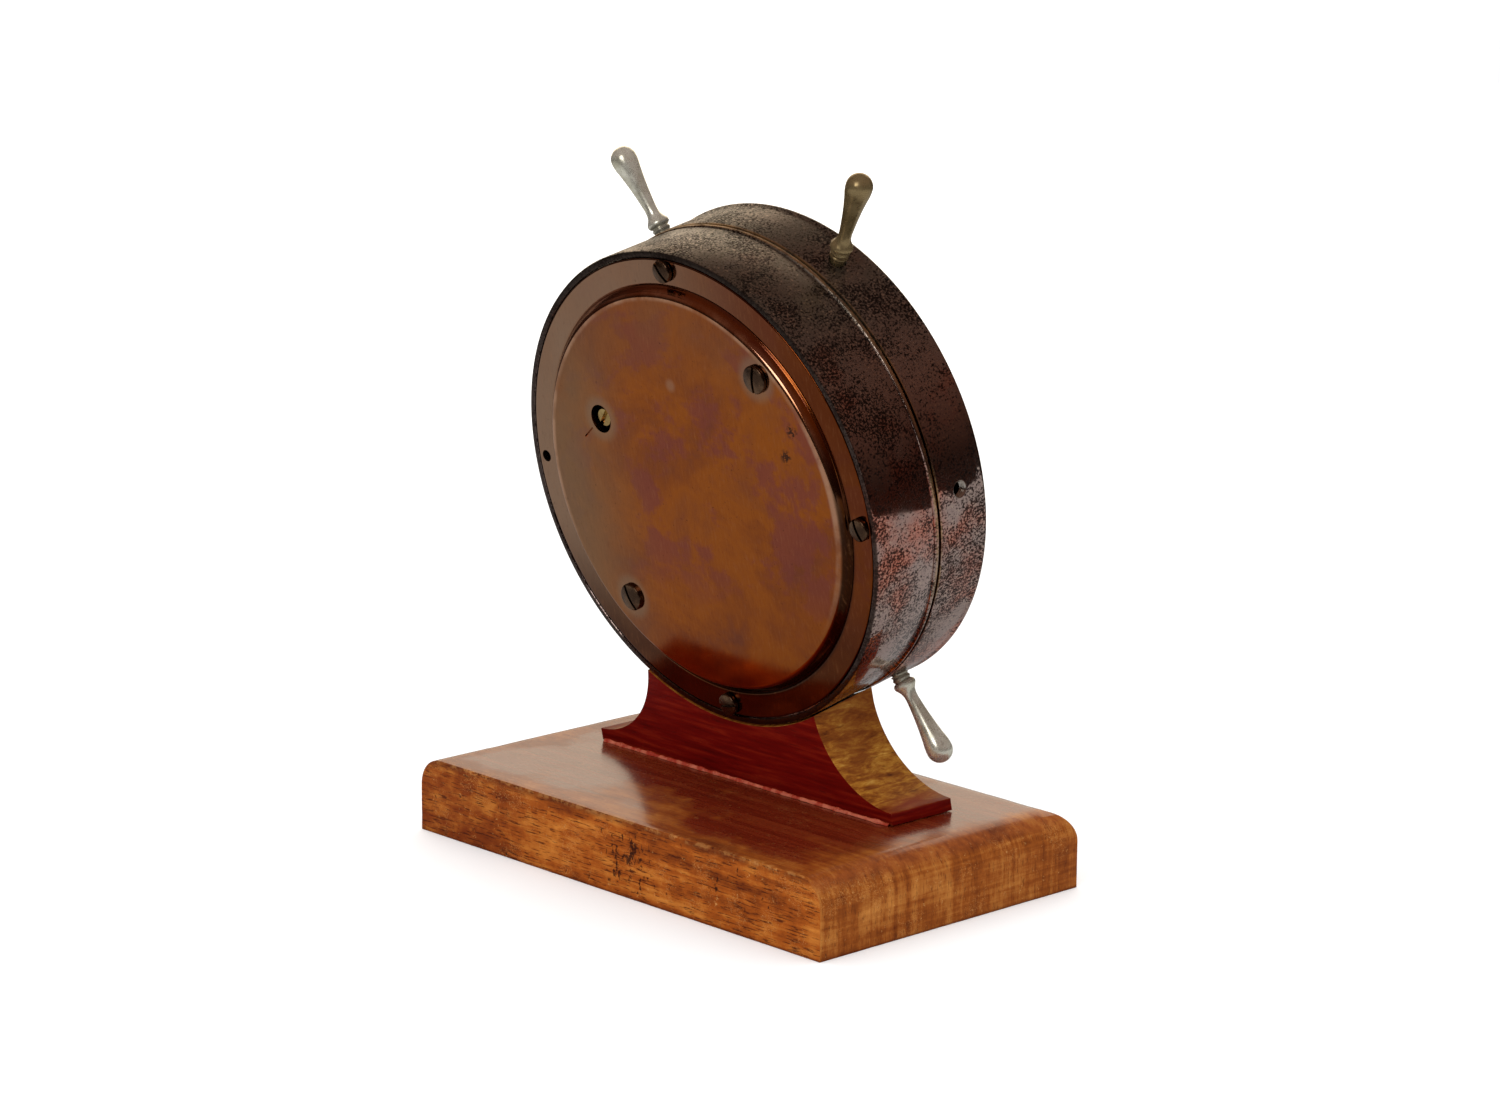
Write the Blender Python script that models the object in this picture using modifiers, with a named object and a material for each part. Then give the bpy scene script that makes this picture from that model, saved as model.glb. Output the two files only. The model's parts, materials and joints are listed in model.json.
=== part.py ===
"""Ship's deck clock on a wooden stand: a leaning drum case in a cradle, with its movement.

World frame: +Z up, +Y towards the back of the clock, origin at the centre of the base underside.
Drum frame (the empty "drum"): x as in the world, y up along the leaning faces, z from the back
cover's flange towards the dial. Lengths in this file are in millimetres until MM scales them.
"""

import math

import bmesh
import bpy
from mathutils import Matrix, Vector

MM = 0.001
GAP = 0.3
ORIGIN = (0.0, 0.0, 0.0)
CYLINDER_TURN = 0.13  # keeps a bore's corners off the edges of the piece it cuts

# Stand
BASE_LENGTH = 153.2
BASE_DEPTH = 91.9
BASE_HEIGHT = 20.5
BASE_ROUND = 8.0
BASE_EDGE_BEVEL = 0.7
BASE_SCREW_X = 34.0
BASE_SCREW_Y = -10.5
BASE_SCREW_HOLE_R = 2.3
BASE_SCREW_SINK_R = 4.8
BASE_SCREW_SINK_DEPTH = 6.0
CRADLE_SOLE = BASE_HEIGHT + GAP
CRADLE_TIP = (31.6, 45.6)
CRADLE_TOE = (55.3, 24.1)
CRADLE_SAG = 0.185
CRADLE_BACK = 0.3
CRADLE_FRONT = 21.4
CRADLE_SCREW_ANGLES = {"cradle_screw_left": 258, "cradle_screw_right": 282}
CRADLE_SCREW_LEVEL = 12.0

# Drum
LEAN = math.radians(11.5)
DRUM_Y = 16.62
DRUM_Z = 100.64
CASE_R = 64.0
CASE_WALL = 1.5
DRUM_STEPS = 36
CASE_FRONT = 22.1
SADDLE_R = CASE_R + 0.5
BEAD_R = 64.4
LEDGE_R = 55.5
RIM_INNER_R = 62.3

# Back cover
COVER_R = 62.0
COVER_SHEET = 1.2
COVER_FACE = 0.3
DISC_FACE = -2.0
DISC_FOOT_R = 54.9
DISC_TOP_R = 52.5
RIM_SCREW_CIRCLE = 59.2
MOVEMENT_SCREWS = {"a": (-31.3, 35.8), "b": (29.7, -33.8)}
REGULATOR_HOLE = (30.8, 15.8)
REGULATOR_HOLE_R = 3.8

# Bezel and its hinge
BEZEL_BACK = 22.4
BEZEL_FRONT = 38.6
BEZEL_BACK_R = 64.6
BEZEL_FRONT_R = 65.1
BEZEL_WALL = 2.2
GLASS_SIGHT_R = 51.5
GLASS_SEAT_R = 56.5
GLASS_BACK = 34.2
GLASS_FRONT = 35.7
SPOKE_PLANE = 30.0
SPOKE_TURN = -0.8  # the ring of spokes stands a little off the upright
SPOKE_ANGLES = {"spoke_1": 60, "spoke_2": 120, "spoke_3": 240, "spoke_4": 300, "spoke_5": 0}
EMPTY_SPOKE_ANGLE = 180
SPOKE_LENGTH = 25.5
SPOKE_LIFT = {"spoke_2": 1.4}  # this one is unscrewed a little
SPOKE_BORE_R = 2.4
SPOKE_STUD_R = 2.0
HINGE_X = 67.3
HINGE_Z = 22.1
KNUCKLE_R = 2.0
PIN_R = 0.9

# Movement levels along the drum axis
PILLAR_PLATE = (8.5, 10.0)
FRONT_PLATE = (22.5, 24.0)
PLATE_R = 53.0
PILLARS = [25, 155, 215, 325]
PILLAR_CIRCLE = 44.0
DIAL_BACK = 28.6
DIAL_FRONT = 29.4
DIAL_R = 57.0

# Going train: teeth, modules and the places of the arbors
BARREL_TEETH, SECOND_LEAVES, BARREL_MODULE = 54, 9, 0.78
SECOND_TEETH, CENTRE_LEAVES, SECOND_MODULE = 36, 6, 0.73
CENTRE_TEETH, THIRD_LEAVES, CENTRE_MODULE = 48, 6, 0.53
THIRD_TEETH, FOURTH_LEAVES, THIRD_MODULE = 45, 6, 0.53
FOURTH_TEETH, ESCAPE_LEAVES, FOURTH_MODULE = 48, 6, 0.465
ESCAPE_TEETH, ESCAPE_R = 15, 6.0
CANNON_LEAVES, MINUTE_TEETH, CANNON_MODULE = 12, 36, 0.4
MINUTE_LEAVES, HOUR_TEETH = 10, 40
RATCHET_TEETH, RATCHET_R = 24, 9.0
WHEEL_THICKNESS = 0.9


def mesh_distance(teeth, leaves, module):
    return (teeth + leaves) * module / 2


def third_corner(start, end, start_distance, end_distance, side):
    """The point at the two distances from start and end; side picks left (1) or right (-1)."""
    along = Vector(end) - Vector(start)
    span = along.length
    reach = (start_distance ** 2 - end_distance ** 2 + span ** 2) / (2 * span)
    height = math.sqrt(start_distance ** 2 - reach ** 2) * side
    along.normalize()
    across = Vector((-along.y, along.x))
    return tuple(Vector(start) + along * reach + across * height)


def beyond(start, angle, distance):
    return (start[0] + distance * math.cos(angle), start[1] + distance * math.sin(angle))


CENTRE = (0.0, 0.0)
BARREL = (0.0, 26.0)
FOURTH = (0.0, -25.0)
SECOND = third_corner(CENTRE, BARREL, mesh_distance(SECOND_TEETH, CENTRE_LEAVES, SECOND_MODULE),
                      mesh_distance(BARREL_TEETH, SECOND_LEAVES, BARREL_MODULE), 1)
THIRD = third_corner(CENTRE, FOURTH, mesh_distance(CENTRE_TEETH, THIRD_LEAVES, CENTRE_MODULE),
                     mesh_distance(THIRD_TEETH, FOURTH_LEAVES, THIRD_MODULE), -1)
ESCAPE = beyond(FOURTH, math.radians(35), mesh_distance(FOURTH_TEETH, ESCAPE_LEAVES, FOURTH_MODULE))
ESCAPEMENT_LINE = math.radians(40)
LEVER = beyond(ESCAPE, ESCAPEMENT_LINE, 7.8)
BALANCE = beyond(ESCAPE, ESCAPEMENT_LINE, 16.2)
MINUTE_WHEEL = beyond(CENTRE, math.radians(200), mesh_distance(MINUTE_TEETH, CANNON_LEAVES,
                                                              CANNON_MODULE))
HOUR_MODULE = CANNON_MODULE * (MINUTE_TEETH + CANNON_LEAVES) / (HOUR_TEETH + MINUTE_LEAVES)
CLICK = beyond(BARREL, math.radians(150), 13.5)
CLICK_REACH = 8.6
REGULATOR_THROW = 0.8
REGULATOR_PIVOT_R = 0.9
COCK_FOOT = (36.0, -16.5)

# Colour, roughness and metallic value of each finish
FINISHES = {
    "mahogany": ((0.23, 0.065, 0.03), 0.3, 0.0),
    "red_lacquer": ((0.16, 0.02, 0.012), 0.25, 0.0),
    "bronze": ((0.06, 0.045, 0.035), 0.35, 0.85),
    "copper": ((0.33, 0.17, 0.10), 0.4, 0.9),
    "dark_steel": ((0.16, 0.14, 0.12), 0.4, 0.9),
    "nickel": ((0.62, 0.58, 0.5), 0.3, 1.0),
    "brass": ((0.72, 0.5, 0.2), 0.3, 1.0),
    "steel": ((0.55, 0.56, 0.58), 0.28, 1.0),
    "blued_steel": ((0.03, 0.06, 0.2), 0.25, 1.0),
    "glass": ((0.95, 0.97, 0.98), 0.02, 0.0),
    "dial_white": ((0.86, 0.84, 0.78), 0.4, 0.0),
    "black_paint": ((0.015, 0.015, 0.015), 0.4, 0.0),
}


# ---------------------------------------------------------------- scene and object helpers

def clear_scene():
    for thing in list(bpy.data.objects):
        bpy.data.objects.remove(thing, do_unlink=True)
    for collection in list(bpy.data.collections):
        bpy.data.collections.remove(collection)


def add_collection(name):
    collection = bpy.data.collections.new(name)
    bpy.context.scene.collection.children.link(collection)
    return collection


def paint(thing, finish):
    colour, roughness, metallic = FINISHES[finish]
    material = bpy.data.materials.new(thing.name + "_" + finish)
    material.use_nodes = True
    shader = material.node_tree.nodes["Principled BSDF"]
    shader.inputs["Base Color"].default_value = (*colour, 1.0)
    shader.inputs["Roughness"].default_value = roughness
    shader.inputs["Metallic"].default_value = metallic
    if finish == "glass":
        shader.inputs["Transmission Weight"].default_value = 0.9
    thing.data.materials.clear()
    thing.data.materials.append(material)


def place(thing, collection, parent, at, rotation=ORIGIN):
    collection.objects.link(thing)
    thing.parent = parent
    thing.location = [value * MM for value in at]
    thing.rotation_euler = rotation
    return thing


def smooth(thing, angle=35):
    thing.data.shade_smooth()
    thing.data.set_sharp_from_angle(angle=math.radians(angle))


def circle(radius, centre=(0.0, 0.0), count=24):
    return [beyond(centre, 2 * math.pi * i / count, radius) for i in range(count)]


def arc(centre, radius, start, end, count):
    """Points of an arc in degrees, both ends included."""
    return [beyond(centre, math.radians(start + (end - start) * i / count), radius)
            for i in range(count + 1)]


def bar_outline(start, end, width):
    along = Vector(end) - Vector(start)
    across = Vector((-along.y, along.x)).normalized() * width / 2
    corners = [Vector(start) - across, Vector(end) - across, Vector(end) + across,
               Vector(start) + across]
    return [tuple(corner) for corner in corners]


def flat_mesh(name, outlines, low, high):
    """A flat plate from closed outlines, the holes among them, between two heights."""
    curve = bpy.data.curves.new(name, "CURVE")
    curve.dimensions = "2D"
    curve.fill_mode = "BOTH"
    curve.extrude = (high - low) / 2 * MM
    for outline in outlines:
        spline = curve.splines.new("POLY")
        spline.points.add(len(outline) - 1)
        for point, (x, y) in zip(spline.points, outline):
            point.co = (x * MM, y * MM, 0.0, 1.0)
        spline.use_cyclic_u = True
    holder = bpy.data.objects.new(name, curve)
    bpy.context.scene.collection.objects.link(holder)
    graph = bpy.context.evaluated_depsgraph_get()
    mesh = bpy.data.meshes.new_from_object(holder.evaluated_get(graph))
    bpy.data.objects.remove(holder, do_unlink=True)
    work = bmesh.new()
    work.from_mesh(mesh)
    bmesh.ops.translate(work, verts=work.verts, vec=(0.0, 0.0, (low + high) / 2 * MM))
    bmesh.ops.remove_doubles(work, verts=work.verts, dist=1e-6)
    bmesh.ops.recalc_face_normals(work, faces=work.faces)
    work.to_mesh(mesh)
    work.free()
    mesh.name = name
    return mesh


def turned_object(name, profile, steps, closed=False):
    """A Screw-turned piece; an open profile starts and ends on the axis."""
    mesh = bpy.data.meshes.new(name)
    count = len(profile)
    edges = [(i, i + 1) for i in range(count - 1)]
    if closed:
        edges.append((count - 1, 0))
    mesh.from_pydata([(r * MM, 0.0, z * MM) for r, z in profile], edges, [])
    thing = bpy.data.objects.new(name, mesh)
    screw = thing.modifiers.new("Screw", "SCREW")
    screw.axis = "Z"
    screw.steps = steps
    screw.render_steps = steps
    screw.use_merge_vertices = True
    screw.merge_threshold = 0.00001
    screw.use_smooth_shade = True
    return thing


def cylinder_object(name, radius, low, high, sides=16):
    mesh = bpy.data.meshes.new(name)
    work = bmesh.new()
    bmesh.ops.create_cone(work, cap_ends=True, segments=sides, radius1=radius * MM,
                          radius2=radius * MM, depth=(high - low) * MM,
                          matrix=Matrix.Rotation(CYLINDER_TURN, 4, "Z"))
    bmesh.ops.translate(work, verts=work.verts, vec=(0.0, 0.0, (low + high) / 2 * MM))
    work.to_mesh(mesh)
    work.free()
    return bpy.data.objects.new(name, mesh)


def box_object(name, low, high):
    mesh = bpy.data.meshes.new(name)
    work = bmesh.new()
    bmesh.ops.create_cube(work, size=1.0)
    size = [(high[i] - low[i]) * MM for i in range(3)]
    middle = [(high[i] + low[i]) / 2 * MM for i in range(3)]
    bmesh.ops.scale(work, verts=work.verts, vec=size)
    bmesh.ops.translate(work, verts=work.verts, vec=middle)
    work.to_mesh(mesh)
    work.free()
    return bpy.data.objects.new(name, mesh)


class Clock:
    """Holds the collections and the drum empty, and adds pieces to them."""

    def __init__(self):
        clear_scene()
        self.parts = add_collection("ships_deck_clock")
        self.tools = add_collection("cutters")
        self.drum = bpy.data.objects.new("drum", None)
        self.parts.objects.link(self.drum)
        self.drum.location = (0.0, DRUM_Y * MM, DRUM_Z * MM)
        self.drum.rotation_euler = (math.pi / 2 - LEAN, 0.0, 0.0)

    def piece(self, thing, finish, at=ORIGIN, rotation=ORIGIN, in_drum=True):
        place(thing, self.parts, self.drum if in_drum else None, at, rotation)
        paint(thing, finish)
        return thing

    def boolean(self, target, tool, operation, at=ORIGIN, rotation=ORIGIN, frame="target"):
        """Cuts or joins a tool that is given in the target's own frame, the drum's or the world's."""
        parents = {"target": target, "drum": self.drum, "world": None}
        place(tool, self.tools, parents[frame], at, rotation)
        tool.hide_render = True
        tool.display_type = "WIRE"
        modifier = target.modifiers.new(operation.title(), "BOOLEAN")
        modifier.operation = operation
        modifier.solver = "EXACT"
        modifier.object = tool

    def drill(self, target, radius, low, high, at=(0.0, 0.0), sides=16):
        tool = cylinder_object(target.name + "_bore", radius, low, high, sides)
        self.cut(target, tool, (*at, 0.0))

    def cut(self, target, tool, at=ORIGIN, rotation=ORIGIN, frame="target"):
        self.boolean(target, tool, "DIFFERENCE", at, rotation, frame)

    def union(self, target, tool, at=ORIGIN, rotation=ORIGIN):
        self.boolean(target, tool, "UNION", at, rotation)

    def union_flat(self, target, name, outlines, low, high):
        self.union(target, bpy.data.objects.new(name, flat_mesh(name, outlines, low, high)))

    def flat(self, name, finish, outlines, low, high, at=(0.0, 0.0)):
        thing = bpy.data.objects.new(name, flat_mesh(name, outlines, low, high))
        self.piece(thing, finish, (at[0], at[1], 0.0))
        smooth(thing)
        return thing

    def turned(self, name, finish, profile, steps, closed=False, at=ORIGIN, rotation=ORIGIN,
               in_drum=True):
        thing = turned_object(name, profile, steps, closed)
        return self.piece(thing, finish, at, rotation, in_drum)


# ---------------------------------------------------------------- stand

def base_board(clock):
    """A board whose ends and front edge are rounded over; the back edge is square."""
    half = BASE_LENGTH / 2
    inner = half - BASE_ROUND
    shoulder = BASE_HEIGHT - BASE_ROUND
    outline = [(-half, 0.0), (half, 0.0)]
    outline += arc((inner, shoulder), BASE_ROUND, 0, 90, 8)
    outline += arc((-inner, shoulder), BASE_ROUND, 90, 180, 8)
    mesh = flat_mesh("base_board", [outline], -BASE_DEPTH / 2, BASE_DEPTH / 2)
    board = bpy.data.objects.new("base_board", mesh)
    clock.piece(board, "mahogany", rotation=(math.pi / 2, 0.0, 0.0), in_drum=False)
    bevel = board.modifiers.new("Bevel", "BEVEL")
    bevel.width = BASE_EDGE_BEVEL * MM
    bevel.segments = 1
    bevel.limit_method = "ANGLE"
    bevel.angle_limit = math.radians(60)

    front = -BASE_DEPTH / 2
    waste = arc((front + BASE_ROUND, shoulder), BASE_ROUND, 90, 180, 8)
    waste += [(front - 1, shoulder), (front - 1, BASE_HEIGHT + 1),
              (front + BASE_ROUND, BASE_HEIGHT + 1)]
    mesh = flat_mesh("base_front_round", [waste], -half - 1, half + 1)
    clock.cut(board, bpy.data.objects.new("base_front_round", mesh),
              rotation=(math.pi / 2, 0.0, math.pi / 2), frame="world")
    for side in (-1, 1):
        at = (side * BASE_SCREW_X, BASE_SCREW_Y, 0.0)
        hole = cylinder_object("base_hole", BASE_SCREW_HOLE_R, -1, BASE_HEIGHT + 1, 16)
        clock.cut(board, hole, at, frame="world")
        sink = cylinder_object("base_sink", BASE_SCREW_SINK_R, -1, BASE_SCREW_SINK_DEPTH, 20)
        clock.cut(board, sink, at, frame="world")
    smooth(board)


def base_screws(clock):
    """Slotted wood screws from the underside up into the cradle's foot."""
    profile = [(0.0, 31.0), (1.0, 30.2), (1.7, 27.0), (1.7, 5.7), (4.2, 5.7), (4.2, 3.7),
               (3.6, 3.0), (0.0, 3.0)]
    for name, side in (("base_screw_left", -1), ("base_screw_right", 1)):
        screw = clock.turned(name, "steel", profile, 12, in_drum=False,
                             at=(side * BASE_SCREW_X, BASE_SCREW_Y, 0.0))
        clock.cut(screw, box_object(name + "_slot", (-5, -0.4, 2.0), (5, 0.4, 3.9)))


def flank():
    """The hollow flank in (x, z): straight down to the tip, then an arc out to the toe."""
    tip, toe = Vector(CRADLE_TIP), Vector(CRADLE_TOE)
    chord = toe - tip
    sag = CRADLE_SAG * chord.length
    radius = (chord.length ** 2 / 4 + sag ** 2) / (2 * sag)
    across = Vector((-chord.y, chord.x)).normalized()
    centre = (tip + toe) / 2 + across * (radius - sag)
    start = math.degrees(math.atan2(tip.y - centre.y, tip.x - centre.x))
    end = math.degrees(math.atan2(toe.y - centre.y, toe.x - centre.x))
    if end < start:
        end += 360
    return arc(tuple(centre), radius, start, end, 12)


def cradle(clock):
    """A level block whose back, front and round saddle lean with the drum."""
    right = [(CRADLE_TIP[0], CRADLE_TIP[1] + 8.0)] + flank() + [(CRADLE_TOE[0], CRADLE_SOLE)]
    outline = right + [(-x, z) for x, z in reversed(right)]
    mesh = flat_mesh("cradle", [outline], -20.0, 32.0)
    block = bpy.data.objects.new("cradle", mesh)
    clock.piece(block, "red_lacquer", rotation=(math.pi / 2, 0.0, 0.0), in_drum=False)
    behind = box_object("cradle_behind", (-90, -110, -40), (90, 0, CRADLE_BACK))
    before = box_object("cradle_before", (-90, -110, CRADLE_FRONT), (90, 0, 70))
    saddle = cylinder_object("cradle_saddle", SADDLE_R, -15, 45, 72)
    for tool in (behind, before, saddle):
        clock.cut(block, tool, frame="drum")
    for side in (-1, 1):
        pilot = cylinder_object("cradle_pilot", 2.0, BASE_HEIGHT - 1, 31.8, 16)
        clock.cut(block, pilot, (side * BASE_SCREW_X, BASE_SCREW_Y, 0.0), frame="world")
    for angle in CRADLE_SCREW_ANGLES.values():
        bore = cylinder_object("cradle_bore", 1.7, 55, 75.2, 12)
        clock.cut(block, bore, (0.0, 0.0, CRADLE_SCREW_LEVEL),
                  (0.0, math.pi / 2, math.radians(angle)), frame="drum")
    smooth(block)


def cradle_screws(clock):
    """Screws from inside the case, out through its wall into the cradle."""
    seat = CASE_R - CASE_WALL - GAP
    profile = [(0.0, seat + 12.1), (0.8, seat + 11.3), (1.3, seat + 8.3), (1.3, seat),
               (2.8, seat), (2.6, seat - 1.3), (0.0, seat - 1.7)]
    for name, angle in CRADLE_SCREW_ANGLES.items():
        screw = clock.turned(name, "steel", profile, 12, at=(0.0, 0.0, CRADLE_SCREW_LEVEL),
                             rotation=(0.0, math.pi / 2, math.radians(angle)))
        slot = box_object(name + "_slot", (-4, -0.35, seat - 2.7), (4, 0.35, seat - 0.8))
        clock.cut(screw, slot)


# ---------------------------------------------------------------- case, cover and bezel

def rear_case(clock):
    inner = CASE_R - CASE_WALL
    profile = [(BEAD_R - 0.4, CASE_FRONT), (BEAD_R, CASE_FRONT - 0.5), (BEAD_R, 20.9),
               (CASE_R + 0.05, 20.4), (CASE_R, 0.8), (CASE_R - 0.4, 0.2), (RIM_INNER_R, 0.2),
               (RIM_INNER_R, 1.8), (LEDGE_R, 1.8), (LEDGE_R, 3.3), (inner, 3.3),
               (inner, CASE_FRONT)]
    case = clock.turned("rear_case", "bronze", profile, DRUM_STEPS, closed=True)
    for quarter in range(4):
        at = beyond((0.0, 0.0), quarter * math.pi / 2, RIM_SCREW_CIRCLE)
        clock.drill(case, 1.7, 1.0, 4.0, at, 12)
    for angle in CRADLE_SCREW_ANGLES.values():
        clock.cut(case, cylinder_object("case_bore", 1.6, 58, 67, 12),
                  (0.0, 0.0, CRADLE_SCREW_LEVEL), (0.0, math.pi / 2, math.radians(angle)))


def back_cover(clock):
    inside = COVER_FACE + COVER_SHEET
    shoulder = DISC_FOOT_R - DISC_TOP_R
    profile = [(0.0, DISC_FACE + COVER_SHEET), (DISC_TOP_R - 0.9, DISC_FACE + COVER_SHEET),
               (DISC_FOOT_R - 1.1, inside), (COVER_R, inside), (COVER_R, COVER_FACE)]
    profile.append((DISC_FOOT_R, COVER_FACE))
    profile.append((DISC_FOOT_R - 0.25 * shoulder, COVER_FACE - 0.8))
    profile.append((DISC_FOOT_R - 0.6 * shoulder, DISC_FACE + 0.45))
    profile += [(DISC_TOP_R - 0.6, DISC_FACE), (0.0, DISC_FACE)]
    cover = clock.turned("back_cover", "copper", profile, DRUM_STEPS)
    for quarter in range(4):
        at = beyond((0.0, 0.0), quarter * math.pi / 2, RIM_SCREW_CIRCLE)
        clock.drill(cover, 1.7, -1.0, 2.5, at, 12)
    for at in MOVEMENT_SCREWS.values():
        clock.drill(cover, 2.1, -3.5, 1.0, at, 16)
    clock.drill(cover, REGULATOR_HOLE_R, -3.5, 1.0, REGULATOR_HOLE, 20)


def slotted_screw(clock, name, at, head_r, head_top, head_foot, shank_r, shank_end):
    """A screw seen from the back: its head faces -z and its shank runs towards +z."""
    profile = [(0.0, shank_end), (shank_r, shank_end - 0.6), (shank_r, head_foot),
               (head_r, head_foot), (head_r, head_top + 0.5), (head_r - 0.5, head_top + 0.1),
               (0.0, head_top)]
    screw = clock.turned(name, "dark_steel", profile, 14, at=(*at, 0.0))
    clock.cut(screw, box_object(name + "_slot", (-head_r - 1, -0.45, head_top - 1),
                                (head_r + 1, 0.45, head_top + 0.9)))


def cover_screws(clock):
    for name, angle in (("cover_screw_top", 90), ("cover_screw_side", 180),
                        ("cover_screw_bottom", 270)):
        at = beyond((0.0, 0.0), math.radians(angle), RIM_SCREW_CIRCLE)
        slotted_screw(clock, name, at, 3.05, -1.6, -0.05, 1.35, 5.0)
    for letter, at in MOVEMENT_SCREWS.items():
        slotted_screw(clock, "movement_screw_" + letter, at, 3.75, -3.7, -2.3, 1.7, 6.6)


def front_bezel(clock):
    inner = BEZEL_BACK_R - BEZEL_WALL
    flange = GLASS_FRONT + GAP
    profile = [(BEZEL_FRONT_R - 0.7, BEZEL_FRONT), (BEZEL_FRONT_R, BEZEL_FRONT - 0.6),
               (BEZEL_FRONT_R, BEZEL_FRONT - 1.6), (BEZEL_BACK_R, BEZEL_FRONT - 2.4),
               (BEZEL_BACK_R, BEZEL_BACK), (inner, BEZEL_BACK), (inner, flange - 0.6),
               (GLASS_SEAT_R + 1.8, flange - 0.6), (GLASS_SEAT_R + 1.8, 32.4),
               (GLASS_SEAT_R, 32.4), (GLASS_SEAT_R, flange), (GLASS_SIGHT_R, flange),
               (GLASS_SIGHT_R, flange + 0.6), (GLASS_SIGHT_R + 2.0, BEZEL_FRONT)]
    bezel = clock.turned("front_bezel", "bronze", profile, DRUM_STEPS, closed=True)
    for angle in list(SPOKE_ANGLES.values()) + [EMPTY_SPOKE_ANGLE]:
        clock.cut(bezel, cylinder_object("spoke_bore", SPOKE_BORE_R, 60, 67, 12),
                  (0.0, 0.0, SPOKE_PLANE), (0.0, math.pi / 2, math.radians(angle + SPOKE_TURN)))


def glass_and_ring(clock):
    glass = [(0.0, GLASS_FRONT), (GLASS_SEAT_R - 1.0, GLASS_FRONT),
             (GLASS_SEAT_R - 0.5, GLASS_FRONT - 0.4), (GLASS_SEAT_R - 0.5, GLASS_BACK),
             (0.0, GLASS_BACK)]
    clock.turned("glass", "glass", glass, DRUM_STEPS)
    top = GLASS_BACK - GAP
    ring = [(GLASS_SEAT_R - GAP, top), (GLASS_SEAT_R - GAP, 32.6), (GLASS_SIGHT_R + 0.8, 32.6),
            (GLASS_SIGHT_R + 0.2, 33.2), (GLASS_SIGHT_R + 0.2, top)]
    clock.turned("glass_ring", "brass", ring, DRUM_STEPS, closed=True)


def spokes(clock):
    """Turned handles: a stud in the bezel's wall, a ring, a flared skirt, a neck and a club end."""
    foot = BEZEL_BACK_R + GAP
    tip = foot + SPOKE_LENGTH
    profile = [(0.0, tip), (1.9, tip - 0.5), (3.05, tip - 1.8), (3.45, tip - 3.8),
               (3.25, tip - 5.6), (2.5, tip - 10.0), (1.83, tip - 16.0), (1.65, tip - 19.0),
               (2.0, tip - 20.6), (2.95, foot + 3.3), (2.95, foot + 2.4), (2.1, foot + 1.8),
               (2.45, foot + 1.1), (2.1, foot + 0.5), (2.5, foot + 0.3), (2.5, foot),
               (SPOKE_STUD_R, foot), (SPOKE_STUD_R, foot - 2.6), (0.0, foot - 2.6)]
    for name, angle in SPOKE_ANGLES.items():
        turn = math.radians(angle + SPOKE_TURN)
        lift = beyond((0.0, 0.0), turn, SPOKE_LIFT.get(name, 0.0))
        clock.turned(name, "nickel", profile, 10, at=(*lift, SPOKE_PLANE),
                     rotation=(0.0, math.pi / 2, turn))


def hinge(clock):
    """Three knuckles on an upright pin; each leaf is drawn in its (y, z) plane."""
    upright = (-math.pi / 2, 0.0, 0.0)
    sideways = (math.pi / 2, 0.0, math.pi / 2)
    case_plate = [(-9.0, -9.6), (9.0, -9.6), (9.0, 0.0), (3.2, 0.0), (3.2, -2.4), (-3.2, -2.4),
                  (-3.2, 0.0), (-9.0, 0.0)]
    bezel_plate = [(-2.9, 0.0), (2.9, 0.0), (2.9, 3.0), (-2.9, 3.0)]
    leaves = (("hinge_leaf_case", case_plate, (-2.55, -1.45), ((-9.0, -3.2), (3.2, 9.0))),
              ("hinge_leaf_bezel", bezel_plate, (-2.05, -1.0), ((-2.9, 2.9),)))
    for name, plate, (inner, outer), knuckles in leaves:
        mesh = flat_mesh(name, [plate], inner, outer)
        leaf = bpy.data.objects.new(name, mesh)
        clock.piece(leaf, "bronze", (HINGE_X, 0.0, HINGE_Z), sideways)
        for low, high in knuckles:
            clock.union(leaf, cylinder_object(name + "_knuckle", KNUCKLE_R, low, high, 18),
                        rotation=(0.0, math.pi / 2, 0.0))
        clock.cut(leaf, cylinder_object(name + "_bore", PIN_R + 0.25, -12, 12, 12),
                  rotation=(0.0, math.pi / 2, 0.0))
    pin = [(0.0, 10.2), (1.2, 10.0), (1.5, 9.4), (PIN_R, 9.3), (PIN_R, -9.3), (1.5, -9.4),
           (1.2, -10.0), (0.0, -10.2)]
    clock.turned("hinge_pin", "brass", pin, 12, at=(HINGE_X, 0.0, HINGE_Z), rotation=upright)


# ---------------------------------------------------------------- plates and dial

def plate_outline(radius, holes):
    return [circle(radius, count=36)] + [circle(r, at, 8 if r < 1.5 else 12) for at, r in holes]


def pillar_places():
    return [beyond((0.0, 0.0), math.radians(angle), PILLAR_CIRCLE) for angle in PILLARS]


def dial_feet():
    return [beyond((0.0, 0.0), math.radians(angle), 48.0) for angle in (90, 195, 345)]


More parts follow.
